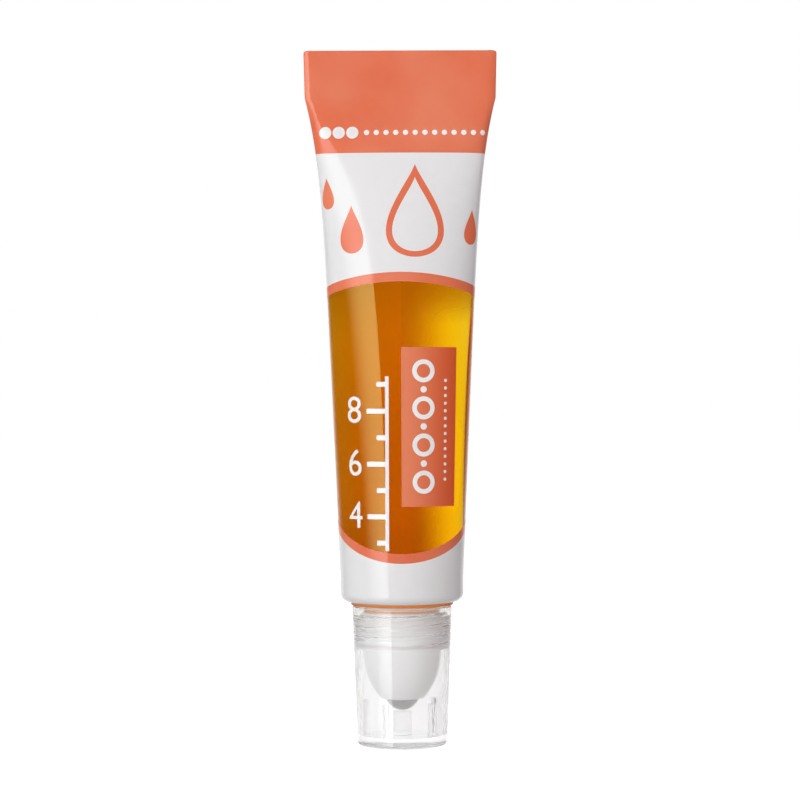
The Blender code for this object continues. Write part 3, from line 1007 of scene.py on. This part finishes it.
def wrap(mesh, face_depth, back_depth):
    """Bend a flat sheet on to the wall, with its face and its back at these depths.

    The face's corners look the way the wall does, and the back's look the other way. The rim
    keeps its own flat look.
    """
    flat = np.empty(len(mesh.vertices) * 3)
    mesh.vertices.foreach_get("co", flat)
    flat = flat.reshape(-1, 3)
    depth = face_depth + (back_depth - face_depth) * np.clip(-flat[:, 2], 0, 1)
    places, facings = on_wall(flat[:, 0] * MM, flat[:, 1] * MM, depth)
    mesh.vertices.foreach_set("co", places.ravel())
    mesh.update()
    mesh.shade_smooth()
    normals = []
    for face in mesh.polygons:
        heights = [flat[v, 2] for v in face.vertices]
        for v in face.vertices:
            if min(heights) > -NEAR:
                normals.append(facings[v])
            elif max(heights) < NEAR - 1:
                normals.append(-facings[v])
            else:
                normals.append(face.normal)
    mesh.normals_split_custom_set([tuple(normal) for normal in normals])


# %% [markdown]
# An outline is a 2D curve with an extrusion: Blender fills it, and a second spline inside the
# first becomes a hole. Curves can't be cutters, so each is turned into a mesh first.


# %% Prisms from outlines
PRISM_REACH = 1.5
PRISM_SHIFT = -0.5
PRISM_WELD = 0.0005


def applied(thing):
    """An object's mesh with its curve filled or its modifiers applied."""
    bpy.context.view_layer.update()
    graph = bpy.context.evaluated_depsgraph_get()
    return bpy.data.meshes.new_from_object(thing.evaluated_get(graph))


def as_prism(curve):
    """A curve's filled and extruded form as a closed mesh object, from height -2 to 1."""
    holder = bpy.data.objects.new(curve.name, curve)
    bpy.context.scene.collection.objects.link(holder)
    mesh = applied(holder)
    bpy.data.objects.remove(holder)
    bm = bmesh.new()
    bm.from_mesh(mesh)
    bmesh.ops.remove_doubles(bm, verts=bm.verts, dist=PRISM_WELD)
    bmesh.ops.translate(bm, verts=bm.verts, vec=(0, 0, PRISM_SHIFT))
    bm.to_mesh(mesh)
    bm.free()
    prism = bpy.data.objects.new(curve.name, mesh)
    bpy.context.scene.collection.objects.link(prism)
    return prism


def outline_prism(name, outlines):
    """Closed outlines of (across, up) points in millimetres as one prism."""
    curve = bpy.data.curves.new(name, "CURVE")
    curve.dimensions = "2D"
    curve.fill_mode = "BOTH"
    curve.extrude = PRISM_REACH
    for outline in outlines:
        spline = curve.splines.new("POLY")
        spline.points.add(len(outline) - 1)
        for point, (x, y) in zip(spline.points, outline):
            point.co = (x, y, 0, 1)
        spline.use_cyclic_u = True
    return as_prism(curve)


# %% [markdown]
# The Boolean leaves a sheet inside the prism, or a sheet with the prism's hole in it. It is
# applied at once, because the wrap needs the cut corners.


# %% Cut a sheet
SHEET_MARGIN = 0.5


def cut_sheet(name, prism, whole=None):
    """The part of a flat sheet that lies inside a prism. The prism is used up.

    Where whole gives the lines of a sheet, all but the prism is kept of it.
    """
    corners = np.array([vertex.co for vertex in prism.data.vertices])
    low, high = corners.min(0) - SHEET_MARGIN, corners.max(0) + SHEET_MARGIN
    across, up = whole or (across_lines(low[0], high[0]), up_lines(low[1], high[1]))
    sheet = bpy.data.objects.new(name, flat_sheet(name, across, up))
    bpy.context.scene.collection.objects.link(sheet)
    cut = sheet.modifiers.new("cut", "BOOLEAN")
    cut.operation = "DIFFERENCE" if whole else "INTERSECT"
    cut.solver = "EXACT"
    cut.object = prism
    mesh = applied(sheet)
    for used in (sheet, prism):
        bpy.data.meshes.remove(used.data)
    mesh.name = name
    return mesh


# %% [markdown]
# The layout is plain: a coral band over the crimp, white below it, a window with a coral edge,
# a group of drops above it, a fill scale and a coral panel. The window's upper and lower edges
# come in at the sides of the tube. A cosine round the girth draws these scallops, so a few
# sizes set them.

# %% Layout in millimetres
BAND_LOW = 90.8
BAND_HIGH = SLEEVE_TOP / MM - 0.04
WINDOW_LEFT = -20.0
WINDOW_LOW = 28.4
WINDOW_HIGH = 72.4
LOW_SCALLOP = 5.4
HIGH_SCALLOP = 2.6
SCALLOP_ROUNDING = 0.01
SEAM_SPREAD = 2.0
WINDOW_CORNER = 4.0
CORNER_POINTS = 12
WINDOW_EDGE = 1.45
SCREEN_START = 21.0


def scallop(across, height):
    """How far a scallop comes in: not at the front, most at the sides, less than 0 at the seam."""
    bow = math.cos(math.pi * across / HALF_GIRTH)
    spread = SEAM_SPREAD * (across / HALF_GIRTH) ** 4
    return height * (1 - math.sqrt(bow**2 + SCALLOP_ROUNDING)) - spread


def window_outline(inset, points=96):
    """The window's outline, moved in by inset. It has a rounded left end and runs to the seam."""
    radius = WINDOW_CORNER - inset
    corner = WINDOW_LEFT + WINDOW_CORNER
    steps = [corner + (HALF_GIRTH + 1 - corner) * i / points for i in range(points + 1)]
    top = [(x, WINDOW_HIGH - inset - scallop(x, HIGH_SCALLOP)) for x in steps]
    low = [(x, WINDOW_LOW + inset + scallop(x, LOW_SCALLOP)) for x in steps]
    bends = [math.pi / 2 * i / CORNER_POINTS for i in range(1, CORNER_POINTS + 1)]
    upper = [(corner - radius * math.sin(a), top[0][1] - radius * (1 - math.cos(a))) for a in bends]
    lower = [(corner - radius * math.sin(a), low[0][1] + radius * (1 - math.cos(a))) for a in bends]
    return top[::-1] + upper + lower[::-1] + low


# %% [markdown]
# Boxes, drops and circles are lists of places. Digits come from Blender's own plain typeface,
# which saves drawing them.

# %% Small shapes
DROP_SWELL = 0.62
DROP_POWER = 1.6
TYPE_SIZE = 1.4


def box_outline(left, right, low, high):
    """A box with straight sides."""
    return [(left, low), (right, low), (right, high), (left, high)]


def drop_outline(across, up, width, height, points=56):
    """A drop with a round foot and a point at the top."""
    found = []
    for i in range(points):
        angle = 2 * math.pi * i / points
        swell = DROP_SWELL * math.sin(angle / 2) ** DROP_POWER
        aside = width * math.sin(angle) * swell
        found.append((across + aside, up + height / 2 * math.cos(angle)))
    return found


def round_outline(across, up, radius, points=36):
    """A circle."""
    angles = [2 * math.pi * i / points for i in range(points)]
    return [(across + radius * math.cos(a), up + radius * math.sin(a)) for a in angles]


def digit_prism(text, across, up, height):
    """A number as a prism, centred on a place, in Blender's own plain typeface."""
    curve = bpy.data.curves.new("digit_" + text, "FONT")
    curve.body = text
    curve.align_x = "CENTER"
    curve.align_y = "CENTER"
    curve.size = height * TYPE_SIZE
    curve.extrude = PRISM_REACH
    prism = as_prism(curve)
    for vertex in prism.data.vertices:
        vertex.co.x += across
        vertex.co.y += up
    return prism


# %% [markdown]
# Each ink is a skin with a face and a back. The ground goes on first, so its face lies deepest.
# The coral lies over it, and the bright marks lie on top, with their face at the wall's own.
# Every back reaches a little way into the clear plastic, so no air is left under the ink.

# %% Lay the inks
FACE_DEPTH = {"ground": 0.03 * MM, "print": 0.015 * MM, "marks": 0.0}
BACK_DEPTH = {"ground": 0.1 * MM, "print": 0.09 * MM, "marks": 0.08 * MM}


def lay(mesh, finish, layer):
    """Wrap a flat mesh on the sleeve as a skin of ink."""
    wrap(mesh, FACE_DEPTH[layer], BACK_DEPTH[layer])
    mesh.materials.clear()
    skin = show(mesh.name, mesh, finish)
    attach(skin, "tube")
    print(mesh.name, len(mesh.polygons), "faces")


def stamp(name, outlines, finish, layer):
    """Lay the ink that these outlines enclose."""
    lay(cut_sheet(name, outline_prism("outline", outlines)), finish, layer)


all_round = across_lines(-HALF_GIRTH, HALF_GIRTH)
lay(flat_sheet("print_band", all_round, up_lines(BAND_LOW, BAND_HIGH)), coral_ink, "print")
window = window_outline(WINDOW_EDGE / 2)
below_band = up_lines(CORNER_START / MM, BAND_LOW)
ground = cut_sheet("print_ground", outline_prism("window_hole", [window]), (all_round, below_band))
lay(ground, white_ink, "ground")
edge = window_outline(0) + window_outline(WINDOW_EDGE)[::-1]
stamp("print_window_edge", [edge], coral_ink, "print")
screened = [place for place in window if place[0] > SCREEN_START]
stamp("print_screen", [screened], screen_ink, "ground")

# %% [markdown]
# An outlined drop with three small full ones stands over the window. Each is a circle that is
# drawn in towards a point at its top. A smaller drop inside the big one makes it an outline.

# %% Drops
BIG_DROP = (2.2, 81.9, 10.4, 14.4)
BIG_DROP_LINE = (2.2, 81.3, 8.2, 11.5)
SMALL_DROPS = [(-7.6, 79.0, 4.4, 7.4), (-11.6, 84.6, 2.8, 4.8), (11.4, 79.4, 3.2, 5.4)]
outlines = [drop_outline(*drop) for drop in [BIG_DROP, BIG_DROP_LINE] + SMALL_DROPS]
stamp("print_drops", outlines, coral_ink, "print")

# %% [markdown]
# The scale counts millilitres from the cap up. A mark's height could be set by eye, but here it
# follows from the room inside the tube: slices of the inner section are added up until the
# wanted volume is reached.

# %% Volumes up the tube
ML = 1e-6
BELOW_SKIRT = 1.1 * ML
AREA_POINTS = 181
SLICES = 300


def inner_area(up):
    """The area of the room inside the sleeve at a height."""
    width, depth, power, _ = wall_size(up)
    angles = np.linspace(0, 2 * math.pi, AREA_POINTS)
    x, y = section(angles, width - SLEEVE_WALL, depth - SLEEVE_WALL, power).T
    return abs(np.dot(x[:-1], y[1:]) - np.dot(x[1:], y[:-1])) / 2


slices = np.linspace(SKIRT_TOP, SEAL_Z, SLICES)
areas = np.array([inner_area(up) for up in slices])
steps = (areas[1:] + areas[:-1]) / 2 * np.diff(slices)
volumes = BELOW_SKIRT + np.concatenate([[0], np.cumsum(steps)])


def level_of(volume):
    """The height in millimetres at which the tube holds this volume."""
    return float(np.interp(volume, volumes, slices)) / MM


print("the tube holds", round(volumes[-1] / ML, 1), "ml up to its seal")

# %% [markdown]
# The scale is an upright line with a tick for every millilitre. The even ones have a longer
# tick and a digit.

# %% Scale
SCALE_LINE = -2.2
SCALE_LEVELS = [3, 4, 5, 6, 7, 8, 9]
TICK_LENGTH = 3.2
TICK_THICKNESS = 0.75
TICK_GAP = 0.1
LINE_THICKNESS = 0.55
LINE_OVERHANG = 1.2
DIGIT_HEIGHT = 4.1
DIGIT_GAP = 2.2

foot = level_of(SCALE_LEVELS[0] * ML) - LINE_OVERHANG
head = level_of(SCALE_LEVELS[-1] * ML) + LINE_OVERHANG
bars = [box_outline(SCALE_LINE - LINE_THICKNESS / 2, SCALE_LINE + LINE_THICKNESS / 2, foot, head)]
for level in SCALE_LEVELS:
    middle = level_of(level * ML)
    low, high = middle - TICK_THICKNESS / 2, middle + TICK_THICKNESS / 2
    length = TICK_LENGTH if level % 2 == 0 else TICK_LENGTH / 2
    bars.append(box_outline(SCALE_LINE - length, SCALE_LINE - TICK_GAP, low, high))
for index, bar in enumerate(bars):
    stamp("print_scale_" + str(index), [bar], bright_ink, "marks")
for level in SCALE_LEVELS:
    if level % 2 == 0:
        aside = SCALE_LINE - TICK_LENGTH - DIGIT_GAP
        prism = digit_prism(str(level), aside, level_of(level * ML), DIGIT_HEIGHT)
        lay(cut_sheet("print_digit_" + str(level), prism), bright_ink, "marks")

# %% [markdown]
# A coral panel stands beside the scale. A column of rings with a small dot between them and a
# column of fine dots are laid on it in the bright ink. A row of dots crosses the coral band.

# %% Panel and dots
PANEL_ACROSS = (0.0, 9.0)
PANEL_UP = (36.9, 61.0)
RINGS_AT = 3.4
RINGS_START = 40.6
RINGS_STEP = 5.6
RING_SIZES = (1.75, 1.05)
DOTS_AT = 7.0
BAND_ROW = 94.0

panel = flat_sheet("print_panel", across_lines(*PANEL_ACROSS), up_lines(*PANEL_UP))
lay(panel, panel_shaded_ink, "print")
outlines = []
for index in range(4):
    middle = RINGS_START + RINGS_STEP * index
    outlines += [round_outline(RINGS_AT, middle, radius) for radius in RING_SIZES]
    if index < 3:
        outlines.append(round_outline(RINGS_AT, middle + RINGS_STEP / 2, 0.5, 16))
stamp("print_panel_rings", outlines, bright_ink, "marks")
outlines = [round_outline(DOTS_AT, 41.0 + 1.15 * index, 0.26, 12) for index in range(14)]
stamp("print_panel_dots", outlines, bright_ink, "marks")
outlines = [round_outline(-11.6 + 2.1 * index, BAND_ROW, 0.95, 24) for index in range(3)]
outlines += [round_outline(-5.2 + 1.5 * index, BAND_ROW, 0.42, 16) for index in range(13)]
stamp("print_band_dots", outlines, bright_ink, "marks")

# %% [markdown]
# ## The oil
# The oil fills the plug's channel, the neck and the sleeve up to its level. Its skin lies just
# inside the plastic around it, for the same reason as the ink: wet plastic has no air gap.

# %% Oil body
WET = 0.05 * MM
PLUG_BORE_R = 3.8 * MM
FUNNEL_TOP = 13.3 * MM
NECK_BORE_R = 4.9 * MM
PLUG_TOP = housing_high.z
SHOULDER_FLOOR_Z = 22.5 * MM
SKIRT_R = head_high.x
SKIRT_BORE_R = SKIRT_R - 1.2 * MM
LEVEL_Z = oil_high.z
OIL_RINGS = 40

corners = [(PLUG_BORE_R, FUNNEL_TOP), (PLUG_BORE_R, PLUG_TOP - WET)]
corners += [(NECK_BORE_R + WET, PLUG_TOP - WET), (NECK_BORE_R + WET, SHOULDER_FLOOR_Z - WET)]
corners += [(SKIRT_BORE_R + WET, SHOULDER_FLOOR_Z - WET), (SKIRT_BORE_R + WET, SKIRT_TOP - WET)]
corners += [(TUBE_R - SLEEVE_WALL + WET, SKIRT_TOP - WET)]
rings = [round_ring(*corner) for corner in corners]
shares = [way_up(LEVEL_Z) * i / OIL_RINGS for i in range(OIL_RINGS + 1)]
rings += [inner_ring(share, SLEEVE_WALL - WET) for share in shares]
oil = show("oil_fill", body_of_rings("oil_fill", rings), amber_oil)
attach(oil, "tube")
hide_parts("oil")
print("oil:", len(oil.data.polygons), "faces, level at", round(LEVEL_Z / MM, 1), "mm")

# %% [markdown]
# ## Turned pieces
# Cap, neck, housing and ball are round. Each is a profile of corners, some of them rounded,
# swept about the upright axis. A relief moves single points in or out, which makes threads and
# ribs part of the same closed skin. Booleans on clear plastic would leave inner faces, and a
# relief can't.


# %% Profiles with rounded corners
def rounded(corners, steps=5):
    """Corners of (radius, height, rounding) as points, with an arc at each rounded corner."""
    points = []
    for i, (x, z, rounding) in enumerate(corners):
        here = Vector((x, z))
        if rounding == 0:
            points.append((x, z))
            continue
        back = (Vector(corners[i - 1][:2]) - here).normalized()
        on = (Vector(corners[(i + 1) % len(corners)][:2]) - here).normalized()
        half = back.angle(on) / 2
        start = here + back * rounding / math.tan(half)
        end = here + on * rounding / math.tan(half)
        centre = here + (back + on).normalized() * rounding / math.sin(half)
        turn = (start - centre).angle_signed(end - centre)
        for step in range(steps + 1):
            spoke = (start - centre).copy()
            spoke.rotate(Matrix.Rotation(-turn * step / steps, 2))
            points.append(tuple(centre + spoke))
    return points


def finely(points, low, high, step):
    """The same profile with extra points wherever it runs between two heights."""
    found = [points[0]]
    for (r0, z0), (r1, z1) in zip(points, points[1:]):
        cuts = 1
        if min(z0, z1) < high and max(z0, z1) > low and abs(z1 - z0) > step:
            cuts = math.ceil(abs(z1 - z0) / step)
        for k in range(1, cuts + 1):
            found.append((r0 + (r1 - r0) * k / cuts, z0 + (z1 - z0) * k / cuts))
    return found


# %% [markdown]
# A Screw modifier would sweep a profile too, but it can't move single points. So the rings are
# worked out here and go through the same function as the sleeve's.

# %% Turned bodies
TURN_STEPS = 192
EVEN_TURN = np.arange(TURN_STEPS) / TURN_STEPS * 2 * math.pi


def turned(name, profile, ends, relief=None, angles=EVEN_TURN, second=range(0)):
    """A profile of (radius, height) points swept round the axis."""
    rings = []
    for radius, height in profile:
        reach = radius + (relief(angles, radius, height) if relief else 0)
        rings.append(level_ring(angles, reach, height))
    return body_of_rings(name, rings, ends, second)


# %% [markdown]
# A screw thread is a ridge along a helix. For a place on the wall, the nearest turn of the
# helix is found, and the ridge's height there follows from the distance to it. The ridge fades
# at both ends, as a moulded thread does. It could be swept along a helix as a body of its own,
# but then its foot would cross the wall inside the clear plastic.

# %% Thread
PITCH = 1.5 * MM
THREAD_FOOT = 0.52 * MM
THREAD_FADE = 0.12
THREAD_STEP = 0.07 * MM


def thread(angles, height, start_z, start_angle, turns):
    """The ridge's height, from 0 to 1, at these angles and this height."""
    part = ((angles - start_angle) % (2 * math.pi)) / (2 * math.pi)
    nearest = np.round((height - start_z) / PITCH - part)
    away = np.abs(height - start_z - (nearest + part) * PITCH)
    wound = nearest + part
    fade = np.clip(wound / THREAD_FADE, 0, 1) * np.clip((turns - wound) / THREAD_FADE, 0, 1)
    ridge = 0.5 + 0.5 * np.cos(math.pi * np.clip(away / THREAD_FOOT, 0, 1))
    return ridge * fade


# %% [markdown]
# ## The tube head
# The head is moulded clear plastic: a skirt inside the sleeve, a shoulder, a collar and the
# threaded neck. Amber shows through the shoulder as a thin line above the cap. Inside and
# outside are one profile, so the wall is closed, and its inner faces are wet with oil.

# %% Head body
NECK_R = 5.8 * MM
NECK_THREAD_HEIGHT = 0.45 * MM
NECK_END = head_low.z
COLLAR_Z = 21.5 * MM
COLLAR_R = 7.85 * MM
REBATE_R = 8.05 * MM
REBATE_TOP = 22.65 * MM
HEAD_THREAD_START = 16.1 * MM
HEAD_THREAD_TURNS = 2.9
HEAD_THREAD_ANGLE = math.radians(-60)
HAIR = 0.01 * MM


def neck_relief(angles, radius, height):
    """The thread on the outside of the neck."""
    if abs(radius - NECK_R) > HAIR:
        return 0
    ridge = thread(angles, height, HEAD_THREAD_START, HEAD_THREAD_ANGLE, HEAD_THREAD_TURNS)
    return NECK_THREAD_HEIGHT * ridge


corners = [(SKIRT_BORE_R, SKIRT_TOP, 0.15 * MM), (SKIRT_R, SKIRT_TOP, 0.15 * MM)]
corners += [(SKIRT_R, REBATE_TOP, 0.5 * MM), (REBATE_R, REBATE_TOP, 0)]
corners += [(REBATE_R, SLEEVE_Z, 0.08 * MM), (COLLAR_R, SLEEVE_Z, 0)]
corners += [(COLLAR_R, COLLAR_Z, 0.12 * MM), (NECK_R, COLLAR_Z, 0.1 * MM)]
corners += [(NECK_R, NECK_END, 0.3 * MM), (NECK_BORE_R, NECK_END, 0.1 * MM)]
corners += [(NECK_BORE_R, SHOULDER_FLOOR_Z, 0.2 * MM), (SKIRT_BORE_R, SHOULDER_FLOOR_Z, 0.2 * MM)]
profile = finely(rounded(corners), NECK_END, COLLAR_Z, THREAD_STEP)
bore = min(i for i, (r, z) in enumerate(profile) if r < NECK_BORE_R + 0.05 * MM)
wet_gaps = range(bore, len(profile))
skin = turned("tube_head_clear", profile, "joined", neck_relief, second=wet_gaps)
head = show("tube_head_clear", skin, head_plastic)
head.data.materials.append(wet_plastic)
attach(head, "tube")
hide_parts("tube_head")
print("head:", len(head.data.polygons), "faces")

# %% [markdown]
# ## The roller housing and its ball
# The housing is a white dome with a flange. Its plug snaps into the neck, its lip reaches round
# the ball, and a hole feeds oil to the ball from above. The dome's outside is part of an
# ellipse, because half a ball of its width would be too low.

# %% Dome and socket
FLANGE_R = housing_high.x
LIP_Z = housing_low.z
FLANGE_Z = 14.9 * MM
SOCKET_R = BALL_R + 0.1 * MM
LIP_LAND = 0.55 * MM
FEED_HOLE_R = 1.0 * MM


def dome_points(steps=40):
    """The dome's outside, from the flange down to the lip."""
    lip_r = math.sqrt(SOCKET_R**2 - (BALL_Z - LIP_Z) ** 2)
    cut = math.acos((lip_r + LIP_LAND) / FLANGE_R)
    height = (FLANGE_Z - LIP_Z) / math.sin(cut)
    angles = [cut * i / steps for i in range(1, steps + 1)]
    return [(FLANGE_R * math.cos(a), FLANGE_Z - height * math.sin(a)) for a in angles]


def socket_points(steps=24):
    """The socket's inside, from the lip up to the feed hole."""
    low = -math.asin((BALL_Z - LIP_Z) / SOCKET_R)
    high = math.acos(FEED_HOLE_R / SOCKET_R)
    angles = [low + (high - low) * i / steps for i in range(steps + 1)]
    return [(SOCKET_R * math.cos(a), BALL_Z + SOCKET_R * math.sin(a)) for a in angles]


# %% [markdown]
# The plug has a snap bead halfway up. The profile runs down its outside to the flange, over the
# dome to the lip, and up through the socket and the funnel.

# %% Housing body
FLANGE_TOP = FLANGE_Z + 0.3 * MM
PLUG_R = 4.65 * MM
BEAD_Z = 17.9 * MM
BEAD_REACH = 0.5 * MM
BEAD_HEIGHT = 0.2 * MM
FUNNEL_FOOT = 11.9 * MM

corners = [(PLUG_BORE_R, PLUG_TOP, 0.1 * MM), (PLUG_R, PLUG_TOP, 0.35 * MM)]
corners += [(PLUG_R, BEAD_Z + BEAD_REACH, 0.3 * MM), (PLUG_R + BEAD_HEIGHT, BEAD_Z, 0.3 * MM)]
corners += [(PLUG_R, BEAD_Z - BEAD_REACH, 0.3 * MM), (PLUG_R, FLANGE_TOP, 0.05 * MM)]
corners += [(FLANGE_R, FLANGE_TOP, 0.08 * MM), (FLANGE_R, FLANGE_Z, 0.05 * MM)]
profile = rounded(corners + [(*dome_points()[0], 0)])[:-1] + dome_points() + socket_points()
profile += [(FEED_HOLE_R, FUNNEL_FOOT), (PLUG_BORE_R, FUNNEL_TOP)]
housing = show("housing_white", turned("housing_white", profile, "joined"), housing_plastic)
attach(housing, "roller_housing")
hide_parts("roller_housing")
print("housing:", len(housing.data.polygons), "faces")

# %% [markdown]
# The steel ball carries the oil to the nail. A ball made of meridians has two poles where its
# faces crowd together. A cube whose faces are split evenly and puffed out has none, so it
# shines evenly all over.

# %% Ball
BALL_CUTS = 23


def ball_mesh(name, radius, height):
    """A ball from a cube: its faces are split evenly and every point is moved to the radius."""
    bm = bmesh.new()
    bmesh.ops.create_cube(bm, size=1.0)
    bmesh.ops.subdivide_edges(bm, edges=bm.edges, cuts=BALL_CUTS, use_grid_fill=True)
    for vertex in bm.verts:
        spread = Vector([math.tan(value * math.pi / 2) for value in vertex.co])
        vertex.co = spread.normalized() * radius + Vector((0, 0, height))
    mesh = mesh_of(bm, name)
    mesh.shade_smooth()
    return mesh


ball = show("ball_polished", ball_mesh("ball_polished", BALL_R, BALL_Z), steel)
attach(ball, "roller_ball")
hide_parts("roller_ball")
print("ball:", len(ball.data.polygons), "faces")

# %% [markdown]
# ## The cap
# The cap is a clear tapered cup. A pin in its middle presses on the ball when the cap is shut,
# short ribs stand inside its wall, and its thread sits above a small ledge. Ribs and thread are
# reliefs of one turned skin. The turn gets a few more steps at the sides of each rib, so that
# they stay upright.

# %% Ribs and thread of the cap
CAP_FLOOR_R = 6.1 * MM
LEDGE_Z = 14.85 * MM
THREAD_BORE_R = 6.7 * MM
RIB_DEPTH = 0.9 * MM
RIB_HALF_WIDTH = 0.3 * MM
RIB_TOP = 6.8 * MM
RIB_ANGLES = [math.radians(-114 + 72 * i) for i in range(5)]
CAP_THREAD_HEIGHT = 0.4 * MM
CAP_THREAD_START = 15.35 * MM
CAP_THREAD_TURNS = 3.2
CAP_THREAD_ANGLE = math.radians(-85)
CAP_SOFTENING = 0.1 * MM
LEAST_STEP = 0.002


def cap_angles():
    """Even angles, and a few more at the sides of each rib."""
    found = set(EVEN_TURN.tolist())
    for rib in RIB_ANGLES:
        for side in (-1, 1):
            for away in (0, 0.5, 1.0):
                width = RIB_HALF_WIDTH + CAP_SOFTENING * away
                found.add((rib + side * width / CAP_FLOOR_R) % (2 * math.pi))
    found = sorted(found)
    return np.array([a for a, b in zip(found, found[1:] + [math.inf]) if b - a > LEAST_STEP])


def cap_relief(angles, radius, height):
    """Ribs and thread on the inside of the cap, which both reach inwards."""
    if radius < CAP_FLOOR_R - HAIR or radius > THREAD_BORE_R + HAIR:
        return 0
    inward = np.zeros(len(angles))
    rise = clamped((RIB_TOP - height) / CAP_SOFTENING)
    for rib in RIB_ANGLES:
        aside = np.abs((angles - rib + math.pi) % (2 * math.pi) - math.pi) * radius
        inward += RIB_DEPTH * rise * np.clip(1 - (aside - RIB_HALF_WIDTH) / CAP_SOFTENING, 0, 1)
    if height > LEDGE_Z:
        ridge = thread(angles, height, CAP_THREAD_START, CAP_THREAD_ANGLE, CAP_THREAD_TURNS)
        inward += CAP_THREAD_HEIGHT * ridge
    return -inward


# %% [markdown]
# The profile starts on the pin, runs over the floor and up the inside to the rim, and comes
# back down the outside. Faces pick their finish by their place: glossy outside, rougher
# inside, and hazy at the thread and the foot.

# %% Cap body
CAP_RIM_Z = cap_high.z
CAP_RIM_R = cap_high.x
CAP_END_R = 6.88 * MM
CAP_FLOOR_Z = 1.6 * MM
LEDGE_R = 6.45 * MM
LEDGE_SLOPE = 0.8 * MM
PIN_R = 1.4 * MM
PIN_TOP = 5.1 * MM
HAZY_SPAN = (LEDGE_Z - 0.3 * MM, 19.9 * MM)
HAZY_FOOT = 0.6 * MM

corners = [(0, PIN_TOP, 0), (PIN_R, PIN_TOP, 0.15 * MM), (PIN_R, CAP_FLOOR_Z, 0.2 * MM)]
corners += [(CAP_FLOOR_R, CAP_FLOOR_Z, 0), (CAP_FLOOR_R + 0.05 * MM, RIB_TOP - 0.1 * MM, 0)]
corners += [(CAP_FLOOR_R + 0.06 * MM, RIB_TOP, 0), (LEDGE_R, LEDGE_Z, 0.1 * MM)]
corners += [(THREAD_BORE_R, LEDGE_Z + LEDGE_SLOPE, 0.3 * MM), (THREAD_BORE_R, CAP_RIM_Z, 0.15 * MM)]
inside = rounded(corners + [(CAP_RIM_R, CAP_RIM_Z, 0)])[:-1]
inside = finely(inside, LEDGE_Z, CAP_RIM_Z, THREAD_STEP)
corners = [(THREAD_BORE_R, CAP_RIM_Z, 0), (CAP_RIM_R, CAP_RIM_Z, 0.2 * MM)]
corners += [(CAP_END_R, 0, 0.5 * MM), (0, 0, 0)]
profile = inside + rounded(corners, steps=8)[1:]
inner_gaps = range(len(inside) - 1)
skin = turned("cap_clear", profile, "open", cap_relief, cap_angles(), second=inner_gaps)
cap = show("cap_clear", skin, cap_plastic)
cap.data.materials.append(cap_inside_plastic)
cap.data.materials.append(cap_hazy_plastic)
for face in cap.data.polygons:
    on_thread = face.material_index == 1 and HAZY_SPAN[0] < face.center.z < HAZY_SPAN[1]
    if on_thread or face.center.z < HAZY_FOOT:
        face.material_index = 2
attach(cap, "cap")
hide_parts("cap")
print("cap:", len(cap.data.polygons), "faces")
